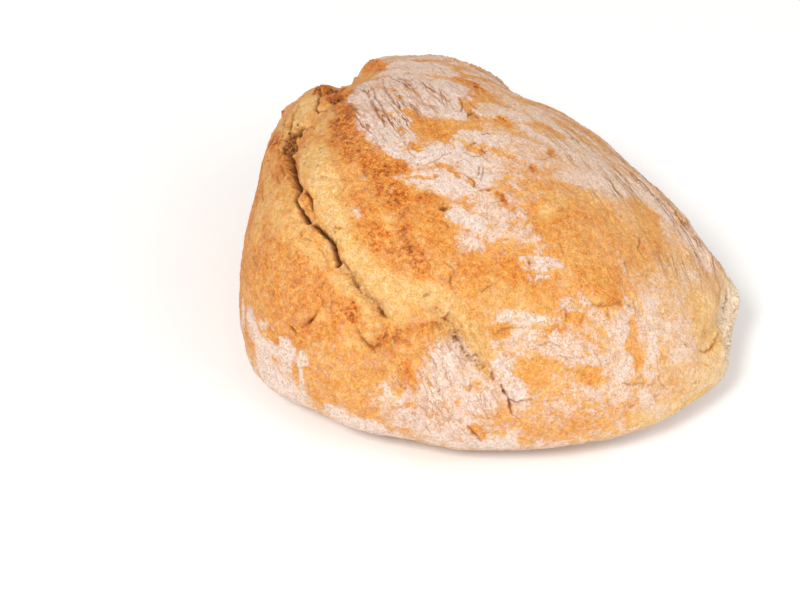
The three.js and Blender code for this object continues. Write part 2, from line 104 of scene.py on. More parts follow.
# Patches, each a capsule: x, y, z of its two ends, radius, strength.
FLOUR = [
    (-61, -23.1, 113.1, -45.2, -36.5, 114.7, 7, 1), (-77.4, 4.7, 108.3, -65.4, 22.7, 108.6, 8, 0.9), (-50.9, -7.8, 116.2, -28.3, 9.7, 117.4, 12, 1),
    (-36.3, -28.1, 117.9, -14.1, -3.8, 119.9, 14, 1), (-23.6, -40.2, 117.6, 0.1, -43, 119.3, 8, 1), (-12.4, -29.9, 120.1, 3.6, -34.7, 120.3, 8, 0.9),
    (6.3, -42.8, 119.4, 13.4, -43.1, 119.1, 5, 1), (21.2, -38.2, 118.9, 21.8, -22.8, 119.5, 8, 0.95), (23.5, -18, 119.1, 31.8, -11.1, 117.3, 8, 0.95),
    (29.6, -48, 116.3, 37.9, -30.1, 116.1, 6, 0.9), (40.1, -37.9, 115, 46.4, -21.2, 113.9, 7, 0.9), (34.7, -56.1, 113.6, 34.7, -56.1, 113.6, 3, 0.9),
    (-10.3, -2.4, 119.9, -5.1, 0.6, 119.6, 8, 1), (-11.6, 7.6, 118.5, -3.2, 9.9, 117.9, 5, 0.9), (-5, 20.4, 115.3, -2.3, 37.3, 109.3, 8, 0.75),
    (35.5, -13.1, 116.6, 43.2, -10.5, 114.6, 7, 1), (58.9, -33.9, 108.8, 66.2, -26.1, 106.3, 6, 1), (69.6, -42.2, 102.7, 78, -33.4, 99.7, 7, 0.72),
    (56.4, -17.6, 110.6, 74.6, -17.3, 103, 7, 0.65), (-89.6, 44.9, 93, -62.6, 48, 100.1, 5, 0.55), (-38.3, 34.9, 109.5, -2.2, 49.8, 103.7, 8, 0.6),
    (-7.9, 53.3, 102, 30.8, 67.3, 93.7, 10, 0.75), (27.6, 47.9, 103.6, 51.9, 56.5, 96.3, 11, 0.7), (37.1, 64.6, 94.7, 51.4, 79.8, 83.9, 9, 0.8),
    (62.1, 83.2, 79.6, 80.5, 93.6, 66.9, 6, 0.95), (77, 96, 66.3, 91.7, 97, 59.2, 6, 0.7), (69.3, 82.4, 78.2, 83.8, 75.6, 77.3, 4, 0.55),
    (17.5, 13.9, 115.9, 29.9, 30.6, 109.9, 8, 0.5), (51.8, 7.5, 110.6, 65.6, 21.5, 103.9, 9, 0.45), (118.4, 45.8, 70.6, 142.1, 32.2, 48.6, 4.5, 0.7),
    (121, 26.1, 72.7, 140.2, 15.8, 52, 8, 0.7), (130.2, 45.4, 60.5, 135, 60.2, 49.3, 9, 0.5), (138.9, 49.4, 48.9, 138.9, 49.4, 48.9, 5, 0.65),
    (107.1, 76.4, 65.1, 116, 77.4, 58.3, 8, 0.55), (119.8, -39.2, 61.8, 129, -35.8, 48.6, 6, 1), (114.1, -26.7, 74.1, 125.1, -10.3, 67.1, 8, 0.7),
    (125.1, -10.3, 67.1, 136.9, 8.3, 56, 8, 0.6), (139.2, -8.1, 47.3, 144.8, 13.8, 43.4, 6, 0.6), (131.2, -34.6, 44.8, 144.4, 2.9, 40.8, 6, 0.45),
    (149.2, 28.4, 33.5, 146.7, 25.6, 40.5, 4, 0.7), (106.9, -62.7, 63.4, 111.3, -70.8, 45.4, 9, 0.9), (104.8, -82.5, 39.2, 111.5, -75.5, 31.6, 8, 0.9),
    (106.5, -59.4, 66.6, 123, -51.1, 45.5, 9, 0.85), (96.1, -89.5, 47.7, 98.7, -88.1, 44.1, 3.5, 0.8), (96.9, -91.6, 39.9, 103.4, -86.1, 31.1, 6, 0.6),
    (111.8, -75.5, 29, 116.1, -69.5, 27.8, 6, 0.8), (118.2, -64.4, 35.7, 131, -44.4, 24.4, 9, 0.75), (16.3, -125, 45.4, 28.3, -126.2, 40.3, 6, 1),
    (2.6, -123.3, 42.6, 2.4, -124.7, 29.8, 4, 1), (34.2, -125.7, 40.6, 52.3, -120, 48.1, 5, 0.95), (34.2, -126.8, 30.8, 54.8, -122.4, 24.4, 8, 1),
    (59.5, -116.4, 50.8, 63.2, -119, 25.2, 2, 0.85), (78.1, -110.3, 25.8, 97.6, -93.3, 21.8, 5, 0.8), (49.1, -120.6, 49.8, 50.2, -122.5, 39.7, 5, 0.95),
    (37.5, 38.2, 106.2, 40.7, 12.6, 112.6, 7, 0.4), (32.7, -75.3, 107.6, 37, -74.8, 106.8, 2.5, 0.8), (15.1, -62.6, 114.8, 19.1, -63.6, 114.2, 3, 0.7),
    (11.9, -33.4, 120.2, 0.5, -26.4, 120.7, 3, 0.7), (94, 91.4, 62.6, 95.1, 98.9, 55.8, 5, 0.5), (116.6, -53.5, 56.1, 123.8, -47.3, 48.1, 7, 0.9),
    (13.1, -5.7, 119.6, 21.5, 11.7, 116, 6, 0.8), (20.2, -16.3, 119.5, 25.3, -7.6, 118.2, 4, 0.7), (21.5, 11.7, 116, 38, 25.9, 110.1, 7, 0.55),
    (26.7, -2.7, 117.6, 38.9, 2.1, 114.6, 6, 0.6), (98.7, -83.8, 52.8, 106.2, -75.8, 49.4, 5, 0.4), (-104.4, 2.3, 95.8, -86, 35.2, 98.3, 5, 0.7),
    (-79.7, 31.8, 101.8, -58.5, 60, 94.6, 5, 0.7), (-40.2, 47.8, 103.8, -15.2, 96.2, 70.8, 6, 0.6), (-15.2, 96.2, 70.8, 80.9, 100.2, 61.2, 6, 0.6),
    (135.2, -15, 51.3, 144.1, 3, 41.8, 8, 0.4), (126.8, -43.2, 45.8, 140.6, -17.1, 37.1, 8, 0.35), (145.8, 2.5, 36.8, 149, 35.6, 33.2, 8, 0.3),
    (62.4, -8, 108.3, 81.9, -7.4, 99.7, 10, 0.45), (89.6, -11.4, 95.4, 96.3, 5.4, 91.7, 3, 0.8), (94.3, -11.2, 92.5, 99.7, -8.5, 89.3, 4, 0.8),
    (69.9, -20.3, 105.1, 83.2, -19.1, 98.5, 9, 0.55), (49.8, 36.8, 104.3, 57.1, 66.5, 90.4, 9, 0.7), (73, 51.4, 92.6, 100.1, 36.5, 85.1, 2, 0.6),
    (101.1, 37.1, 84.4, 117.6, 30.7, 74.8, 3, 0.7), (114.2, 10.2, 79.3, 109.1, 14.8, 82.9, 3, 0.7), (113.7, 0.8, 79.5, 122.8, 36, 69.6, 7, 0.5),
    (119.5, 0.7, 74.5, 134.2, 30.2, 59.3, 10, 0.4), (106.8, -31.2, 79.7, 118.1, -6.8, 75, 3.5, 0.85), (110.5, -35.7, 74.7, 125.1, -10.3, 67.1, 8, 0.45),
    (115.5, 16.1, 78.1, 146.2, 24.7, 41.7, 16, 0.3), (109.6, 46.5, 76.6, 133.4, 61.1, 50.9, 16, 0.32), (6, -5.9, 120, 13.3, 16.2, 115.6, 5, 0.4),
    (17.6, -12.1, 119.6, 26.4, -3.7, 117.7, 6, 0.5), (12.3, 5.1, 118.1, 30, 18.7, 113.3, 8, 0.45), (64.6, 84.2, 78.4, 92.8, 107.2, 48.6, 12, 0.42),
    (4.9, 58.1, 99.4, 39.3, 94.5, 74.9, 9, 0.35), (20.5, -22.1, 119.6, 30.5, -10.4, 117.5, 6, 0.4), (-18.3, 46.9, 105.3, -16.1, 71.4, 91.2, 5, 0.6),
    (-2.9, 74.6, 89.4, 22.6, 85.8, 82.1, 5, 0.55), (41.6, 84.9, 81.8, 56, 92.3, 74.5, 4.5, 0.6), (-33.3, 46.6, 104.9, -44.8, 72, 88.7, 5, 0.5),
    (-107.1, 9.1, 93.7, -87.9, 23.8, 101, 3, 0.5), (-68.3, -7.9, 111.9, -51, 22.2, 111.8, 7, 0.8), (-91.5, 5.9, 102.5, -77.4, 36.8, 100.8, 6, 0.6),
    (-54.4, 36.6, 106.7, -75, 69.7, 83.7, 5, 0.6), (61.7, -10.4, 108.6, 80.4, -3.8, 100.5, 10, 0.55), (92.4, -11.3, 93.7, 98.2, -6, 90.4, 4.5, 0.9),
    (106.9, -33.9, 78.8, 112, -24.6, 76.8, 3, 0.8), (114.6, 12.2, 78.9, 109.9, 16.6, 82.2, 3, 0.5), (111.9, 30.5, 79, 116.8, 31.1, 75.3, 2.2, 0.9),
    (109.7, 25.6, 81.3, 111.2, 27.8, 79.9, 2.4, 0.6), (56.5, 86.1, 78.8, 91.1, 93.3, 62.6, 6, 0.75), (39, 88, 79.9, 53.4, 86.2, 79.4, 6, 0.7),
    (10.2, 33, 110.5, 20.2, 39.4, 107.6, 5, 0.8), (28.4, 81.9, 84.8, 53.1, 85.1, 80.2, 5, 0.5), (34, -3.2, 116.3, 42.2, -4.3, 114.5, 5, 0.8),
    (19.7, -23.9, 119.7, 21.1, -11.1, 119.1, 5, 0.8), (114.6, -37.8, 69.2, 122.1, -25.2, 65.8, 5, 0.6), (125.8, 11.4, 69.2, 134.2, 30.2, 59.3, 8, 0.45),
    (118.1, 38.5, 72.8, 129.6, 35.6, 63.5, 5, 0.45), (41.5, -33.1, 115, 44.2, -20, 114.5, 5, 0.9), (83.3, -102.2, 14.5, 103.9, -85.4, 19.2, 4, 0.35),
    (113.4, -73.5, 21.2, 130.9, -44.1, 20.4, 3, 0.45), (36.3, -123, 51.5, 28.8, -123.8, 51.4, 3, 0.7),
]
BARE = [
    (109.3, 17.9, 82.5, 111.3, 24.8, 80.3, 8, 0.9), (-0.4, -22.5, 120.8, 5.9, -8.7, 120.2, 5, 1), (6.5, -20.4, 120.7, 11.1, -13.7, 120.3, 3, 1),
    (-18.2, -21.8, 120.3, -8.3, -18.3, 120.7, 2, 1), (-41.9, -17.7, 117.8, -30.1, -19.1, 119.4, 1.6, 0.9), (-44.7, 23.6, 112.4, -32.3, 27.6, 112.6, 2.6, 1),
    (5.8, -0.7, 119.4, 8.7, 4.7, 118.4, 3, 0.5), (-4.7, -31.6, 120.4, 0.1, -32.3, 120.4, 1.6, 0.9), (29.6, -28, 118.1, 31.6, -24.6, 117.7, 1.3, 0.7),
    (28.3, -53.9, 115.5, 32.2, -51, 115.2, 2.6, 1), (39.3, -52.9, 113.1, 47, -41.5, 112.5, 6, 0.9), (53.7, -38.4, 110.4, 53.7, -38.4, 110.4, 3, 1),
    (127.7, -23, 59.3, 129.2, -20.5, 58.3, 6, 0.4), (137.1, -0.6, 53.8, 137.9, 1.2, 53, 5, 0.8), (136.2, 27.5, 57.3, 140.4, 27.2, 51.7, 3, 0.7),
    (126, 29.6, 67.9, 130.2, 28.2, 64, 3, 0.7), (70.5, 73.9, 82.9, 87.9, 66, 80.6, 8, 0.9), (75.5, 39.4, 95.8, 94.9, 47.3, 84.8, 12, 0.8),
    (79.1, 13.7, 99.8, 99.3, 24.8, 87.9, 14, 0.7), (22.6, -6.2, 118.5, 26.7, -2.7, 117.6, 2.5, 0.8), (14.7, -15.6, 120.1, 19.9, -15, 119.5, 3, 0.4),
    (89.2, -18.4, 95.1, 101.7, -11.7, 87.6, 10, 0.6), (56.8, 26.7, 105.5, 59.6, 28.6, 104.2, 4, 0.6), (15.1, -58.3, 116.1, 22.1, -45.3, 118, 6, 0.8),
    (91.2, -20.5, 93.6, 82, -37.6, 96.6, 7, 0.8), (58, -47.2, 107.4, 67.8, -46.7, 102.8, 8, 0.9), (2, 25.5, 113.4, 7.7, 24.1, 113.6, 3, 0.9),
    (110.8, 23.9, 80.8, 105.9, 20.9, 84.5, 12, 0.9), (118.5, -14.7, 73.1, 119.4, -7.5, 73.7, 5, 0.5), (116, 77.4, 58.3, 127.7, 75.7, 48.5, 8, 0.7),
    (36.3, -123, 51.5, 42, -122.6, 49.1, 2.5, 0.9), (1.8, -20.2, 120.8, 6.3, -14.6, 120.5, 6, 0.3), (100.2, 24.2, 87.5, 109.2, 29.5, 81, 7, 0.5),
    (2.9, 46.7, 105.1, 10.3, 54.7, 101.1, 4, 0.8), (54.4, 10.6, 109.4, 62.9, 41, 99.5, 5, 0.45), (68.5, 19.8, 103.2, 75.5, 39.4, 95.8, 8, 0.7),
    (66, 70.3, 86.1, 88.2, 63.9, 81.4, 7, 0.8), (30.3, -46.7, 116.4, 34.7, -37.9, 116.4, 1.3, 0.7), (34.7, -37.9, 116.4, 35.9, -30.1, 116.6, 1, 0.6),
    (37.9, -22.8, 116.3, 44.6, -16.8, 114.4, 1.1, 0.6), (43.1, -19.4, 114.8, 47.7, -17.4, 113.5, 1.4, 0.6), (10.5, -32.6, 120.3, 15.8, -32.6, 119.9, 2, 0.7),
    (110.7, -36.9, 74, 111.6, -33.1, 74.5, 3, 0.8), (90, -18.8, 94.6, 92, -15.5, 93.6, 3.5, 0.7), (118.8, -1.7, 74.9, 118.8, 3.7, 75.4, 3, 0.6),
    (4.4, 19.4, 115.2, 4.9, 24.5, 113.6, 2.6, 1), (55, -8.4, 111, 59.2, -6.8, 109.5, 1.8, 1), (128.8, 28.3, 65.4, 135.3, 26.2, 58.5, 3, 0.6),
    (-12.3, 10.3, 118, 2.2, 8.2, 118.1, 2.4, 0.8), (103, -84.8, 38.6, 106.5, -80.1, 39.7, 3, 0.6), (118.5, -53.3, 52.7, 119.8, -51.8, 51.8, 3, 0.7),
    (125.1, -32.1, 58.2, 129.7, -20.7, 57.4, 7, 0.25), (123.8, -56.3, 31.7, 126.6, -52.1, 28.2, 3, 0.9), (125.5, -53.8, 29.4, 130.5, -44.5, 29.4, 4, 0.4),
    (67.3, 11.8, 104.9, 65.3, 19.3, 104.4, 4, 0.5), (86.5, -35.5, 94.2, 87.2, -23.9, 95.6, 8, 0.6), (26.1, -36.2, 118.4, 25.7, -33.8, 118.6, 1, 0.3),
]
TOAST = [
    (-108.1, 2.8, 93.5, -79, -4.4, 108.3, 5, 0.7), (-103.9, -6.5, 95.9, -103.9, -6.5, 95.9, 3.5, 0.8), (-60.4, -38.9, 109.8, -35.1, -44.7, 114.5, 5, 1),
    (-33.9, -54.2, 111.5, -29.4, -47.4, 114.8, 5, 1), (-22.6, -53.9, 114.1, 0.2, -56.3, 116.5, 8, 0.85), (0.2, -56.3, 116.5, 19.2, -54.9, 116.6, 8, 0.75),
    (17.8, -50.9, 117.5, 24.5, -46.5, 117.5, 5, 0.8), (25, -57.8, 115.1, 39.3, -57.3, 112.1, 6, 0.85), (39.3, -52.9, 113.1, 47.5, -41.7, 112.3, 5, 0.35),
    (7.6, -65.3, 114, 32.6, -67.1, 110.9, 9, 0.45), (41.4, -77, 104.5, 51.7, -71.1, 103.3, 6, 0.7), (44.3, -55.4, 111, 57.7, -60.5, 104.4, 4, 0.8),
    (58.7, -60.5, 103.9, 75.1, -59, 95.2, 4.5, 0.8), (67.1, -71.2, 95.4, 67.1, -71.2, 95.4, 5, 0.6), (73.5, -60.3, 95.8, 73.5, -60.3, 95.8, 4, 0.9),
    (65.8, -93.6, 81.3, 70.8, -96.1, 74.5, 4, 0.9), (65.3, -99.5, 75.4, 65.3, -99.5, 75.4, 6, 0.6), (-87.8, -65.9, 72.9, -66.3, -71.9, 84.5, 4, 1),
    (-114.4, -45.9, 66.3, -114.4, -45.9, 66.3, 3, 0.9), (-83.7, -38.5, 99.7, -61.6, -35.3, 110.5, 5, 1), (-18.4, -62.2, 111.9, -18.4, -62.2, 111.9, 2.6, 1),
    (90.5, -73.9, 74.9, 94.5, -65.3, 76.6, 2.6, 0.7), (55.3, -72.9, 100.9, 60.1, -69.8, 99.9, 6, 0.7), (20.1, -113.9, 75.4, 45.9, -111.2, 73.1, 20, 0.35),
    (56.2, -110.9, 66.7, 62.4, -108.5, 65.3, 6, 0.5), (-37, 30.3, 111.3, -37, 30.3, 111.3, 3, 0.6), (10, -16.6, 120.5, 10, -16.6, 120.5, 4, 0.5),
    (59.1, -9, 109.6, 63.7, -5.9, 107.8, 3, 0.5), (-80.3, 16.6, 105.5, -77.4, 36.8, 100.8, 2.5, 0.5), (-21, 17.5, 116.1, -28.4, 27.8, 112.8, 4, 0.5),
    (-84.5, -74.2, 61.2, -40.2, -95.1, 72.6, 6, 0.4), (-45.1, -81.2, 88.3, -7.6, -90.2, 97.9, 6, 0.4), (-87.3, -30.9, 100.8, -61.7, -37.6, 109.7, 4, 1),
    (-83.8, -35.9, 100.8, -65.3, -41.7, 107, 3, 0.8), (-23, -60.6, 111.5, -10.7, -65.1, 112.2, 3, 0.8), (-114.8, -44.9, 67.1, -109.9, -51.4, 65.6, 3, 0.8),
    (-78.9, -67.3, 79.9, -69.4, -71.6, 82.5, 4, 0.9), (-41.6, -77.7, 93.8, -24, -82.7, 98, 2, 0.8), (-42.5, -80.3, 90.8, -24.1, -84.3, 96.6, 3, 0.5),
    (5.8, -87.3, 102.8, 10.7, -88.7, 102.2, 2, 0.7), (1.4, 22.2, 114.5, 3, 25, 113.5, 2, 0.8), (58, -6.7, 109.9, 59.2, -6.8, 109.5, 1.4, 0.8),
    (29.3, 37.7, 107.5, 32.9, 34.9, 108.1, 2.2, 0.7), (42.2, 19.3, 110.9, 45, 18.3, 110.5, 2.2, 0.7), (85.4, -87.6, 68.4, 90.1, -78.8, 71.5, 5, 0.5),
    (83.5, -91.9, 65.8, 85.9, -87.8, 67.6, 3, 0.5), (-38.9, -42.9, 114.3, -18.6, -48.2, 116.4, 4, 0.6), (3.1, -50.1, 118.1, 14.1, -50.1, 118, 4, 0.6),
    (115.9, 22.6, 77.2, 117.8, 25.2, 75.4, 3, 0.4), (98.5, -80.6, 57.8, 102.8, -78.4, 52.7, 4, 0.4), (-31, 28.1, 112.5, -26.9, 26.9, 113.1, 2, 0.6),
]
BLOOM = [
    (-19.9, -71.8, 106.9, 6.4, -78.5, 108.2, 8, 0.9), (12.4, -80.7, 107.3, 38.7, -87.4, 99.6, 8, 1), (40.3, -84.3, 100.9, 56.4, -84.9, 93.9, 7, 1),
    (60.2, -83.3, 92.8, 73.1, -78.5, 87.4, 8, 1), (75, -79.4, 85.4, 82.5, -77.6, 80.2, 6, 0.9), (78.4, -70.2, 88.2, 85.9, -60.1, 87, 6, 1),
    (89.3, -57.4, 85.5, 100.6, -51.2, 77.9, 6, 0.9), (104.6, -48.9, 75, 116.5, -43.9, 63.5, 6, 0.85), (-15.3, -95.4, 90, 11.8, -99.5, 93.2, 9, 0.6),
    (25.1, -100.8, 91.8, 43.5, -97, 90.6, 5, 0.7), (54.9, -95.2, 86.9, 70, -88.4, 82.7, 5, 0.75), (79.3, -93.3, 69.2, 79.3, -93.3, 69.2, 5, 0.6),
    (101.2, -36.5, 83, 110.2, -21.5, 79.3, 10, 0.5), (75.6, -99.4, 65.2, 84.8, -91.6, 64.4, 4, 0.3), (144.3, 63.4, 29.4, 139.6, 73.9, 30.1, 9, 0.8),
    (150.7, 23.8, 24.4, 146.8, 58.4, 21.9, 7, 0.75), (145.6, -7.3, 20.5, 150.4, 24.6, 19.6, 5, 0.5), (-30.6, -96.5, 78.9, -8.2, -108.9, 75.1, 5, 0.5),
    (-73.4, -76.1, 71.8, -56.6, -85.9, 72.3, 5, 0.5), (128.8, 70.3, 50.9, 113.6, 87.1, 53.4, 6, 0.6), (-39.2, -59.7, 107.5, -41.4, -52, 110.5, 4, 0.8),
    (120.2, -43.4, 58.4, 116.8, -44.6, 62.6, 4, 0.5), (125.6, -26.9, 60.4, 130.6, -18.4, 57.2, 6, 0.35), (71.1, 10.2, 103.6, 65.3, 19.3, 104.4, 3.5, 0.9),
    (-42.6, -88.1, 81.6, -15.3, -102.6, 80.9, 6, 0.6), (1.5, -91.3, 99.2, 21, -100.8, 92, 6, 0.5), (116, 77.4, 58.3, 133.8, 77.4, 39, 9, 0.6),
    (142.4, 56.7, 39.8, 141.2, 72.4, 26.5, 8, 0.5), (148.7, 25.8, 16.5, 142.7, 65.4, 17.4, 4, 0.7), (67.3, 11.8, 104.9, 66.5, 18.6, 104.1, 4, 0.5),
    (-16.3, -78.9, 103.6, -2, -86.6, 102.1, 3, 0.9), (22.9, -87.5, 102.7, 29.9, -88.9, 100.7, 4, 0.8), (41.7, -85.8, 99.6, 48.3, -87.8, 95.8, 3, 0.6),
    (-30.5, -92.9, 84, -2, -96.9, 93.3, 7, 0.5), (106, -49.5, 73.2, 113.2, -44.5, 67.5, 6, 0.5), (78.9, -89.6, 73.6, 81.5, -92.9, 67, 5, 0.5),
    (85.2, -68.8, 83.3, 94.7, -60.1, 79.3, 6, 0.4),
]
CRUMB = [
    (-83.6, -51.3, 92.3, -77.3, -46.6, 99.2, 5, 1), (-70, -57.7, 95.8, -72.2, -51.6, 98.9, 6, 1), (-69.7, -63.5, 91.1, -69.3, -59.9, 94.5, 3.5, 0.9),
    (-80.8, -62.8, 83.8, -113.6, -48, 64.6, 2.5, 0.7), (-64.2, -51, 103.1, -59.5, -48.9, 106, 3, 0.8), (-66.3, -68.6, 88.2, -59.9, -71.8, 89, 3, 0.5),
    (90.5, 117.5, 34.3, 109.9, 110, 22.7, 4, 1), (130.1, 85.7, 35.9, 133.9, 76.7, 39.4, 3, 0.9), (131.3, 88, 29.2, 136.5, 81.8, 23.7, 3.5, 1),
    (101.7, 109.9, 38.2, 129.1, 83, 40.5, 3, 1), (139.2, 74.3, 17.9, 147.2, 56.8, 22.2, 3, 0.9), (147.2, 56.8, 22.2, 149, 42.4, 18.3, 2.5, 0.8),
    (-63.1, -60.6, 97.3, -73.1, -48.8, 100.1, 5, 0.7), (-82, -47.4, 96, -65.4, -61.1, 95.7, 4, 0.9), (-85, -54.4, 88.7, -78.2, -60.3, 88.4, 3, 0.6),
]
HOLLOWS = [
    (-65.9, -40.1, 107.4, -60.4, -40.8, 109.1, 2.8, 1), (-72.3, -62, 90.8, -68.9, -63.4, 91.7, 1.8, 0.9), (-78.7, -37.1, 102.9, -89.4, -29.2, 100.1, 3, 0.6),
    (-61.6, -66, 93.7, -58.5, -65.4, 95.8, 2, 0.6), (-59.9, -47.4, 106.6, -57.6, -43.4, 109.1, 1.6, 0.6), (-89.3, -56.5, 83.3, -79.7, -62, 85.5, 0.9, 0.6),
    (-64.4, -67.8, 90.3, -60.5, -68.7, 91.7, 3.6, 1), (-60, -70.5, 90.4, -55.4, -73.2, 90.3, 4.2, 1), (-55.7, -75.4, 87.9, -49.9, -74.7, 92.2, 2, 1),
    (-61.8, -65.4, 94.1, -61.3, -62.5, 96.8, 1.8, 0.7), (-74.1, -59.9, 91.5, -70.5, -62.5, 91.5, 1.6, 1), (-63.5, -39.7, 108.4, -59.4, -39.4, 109.9, 2.4, 1),
    (-62.4, -40.9, 108.4, -59.8, -42.4, 108.7, 1.6, 1),
]
RISES = [
    (68.3, 14.1, 104.2, 3, 1), (-71.7, 41.4, 100.8, 3, 0.9), (-65.6, 45.7, 100.5, 2.5, 0.3), (-65.7, 52.6, 97.1, 3, 0.5),
    (-90.6, 76, 71.8, 2.5, 0.4), (-69.6, 72.6, 83.2, 3, -0.8), (-85.6, 41.4, 96.1, 3, 0.6), (78.1, 98.7, 63.7, 3, 1.2),
    (91.8, 109.4, 46.6, 4, 1.4), (86.7, 100.4, 58.6, 3, 0.8), (-103.8, -13.7, 95.1, 2, 1), (-112.2, -6, 90.1, 2, 0.8),
    (-100.8, -5.6, 97.9, 4.5, 2), (-103.7, -0.2, 96.3, 5, 1), (-89.4, -29.2, 100.1, 5, 2.6), (-86.6, -34.7, 99.8, 4, 1.2),
    (6.8, -89.7, 101.2, 4, 2.2), (111.8, 17.8, 80.7, 7, 1), (115.1, 22.9, 77.8, 6, 1), (96.1, -62.9, 76.3, 6, 1),
    (2.1, -78.3, 107.9, 8, 1.2), (3.8, -63.4, 114.6, 7, 1), (-28.5, -46.8, 115.2, 5, 1.4), (-36.4, -48.7, 113, 4, 1),
    (-25.5, -38.1, 117.8, 8, 0.9), (-33.7, -5, 118.7, 9, 0.8), (7.7, -46.3, 118.9, 6, 0.8), (25, -38.4, 118.4, 7, 0.7),
    (65.6, 21.5, 103.9, 10, 0.8), (61.5, 101.7, 65.8, 4, 1.4), (86.4, 102.1, 57.2, 4, 1.6), (-114.7, -43.7, 68.7, 3.5, 2.2),
    (-111.7, -8.1, 90.3, 1.6, 1.6), (-76.1, -72.3, 75.4, 5, 1), (73.4, -86.7, 81.3, 6, -1.4), (78.2, -84.5, 78.9, 3, -1.6),
    (87.2, -80.2, 73.5, 6, -0.8), (80.8, -91.7, 69.2, 6, -1.2), (101.5, -55.3, 75.1, 5, -0.8), (15.6, -96.3, 96.4, 3.5, -2),
    (25.2, -121.6, 58.8, 9, 1), (51.2, -113.8, 65.3, 8, 0.8), (63, -101, 75.5, 8, -0.8), (36.6, -74.5, 107, 6, 0.7),
    (65.8, -60.7, 100.2, 6, 0.9), (57.5, -65.8, 102.7, 5, -0.7), (65.3, -42.7, 104.8, 8, 0.7), (77.3, -35.2, 99.8, 8, -0.7),
    (85.2, -20.2, 97.2, 8, 0.6), (99.2, 113.5, 34.1, 5, 1.5), (126.2, 93.6, 30.8, 4, -1.8), (143.9, 25.6, 46.1, 9, 0.8),
    (124.9, -52.7, 36.3, 9, 0.8), (108.3, -76.7, 42, 9, -0.6), (128.4, -22.8, 58.5, 9, 0.5),
]
RAGGED = [
    (-87.9, 23.8, 101, -97.3, 51, 86.3, 5, 0.5), (-81.8, 42.5, 97, -89.6, 76.1, 72.3, 6, 1), (-58.5, 60, 94.6, -33.1, 60.2, 97.7, 5, 0.7),
    (-33.1, 60.2, 97.7, -26.7, 90.6, 75.1, 3, 0.35), (-137.7, 1.1, 63, -111.6, -5, 90.7, 4, 0.8), (-111.6, -5, 90.7, -96.7, 2.3, 100.2, 3, 0.5),
    (46.9, 82.7, 82.7, 93.7, 117.6, 30.5, 5, 0.5), (97, 115.7, 31.5, 124.1, 97.1, 27.6, 5, 0.7), (-106.3, -58.2, 59.8, -114.8, -41.4, 71, 3, 0.4),
]
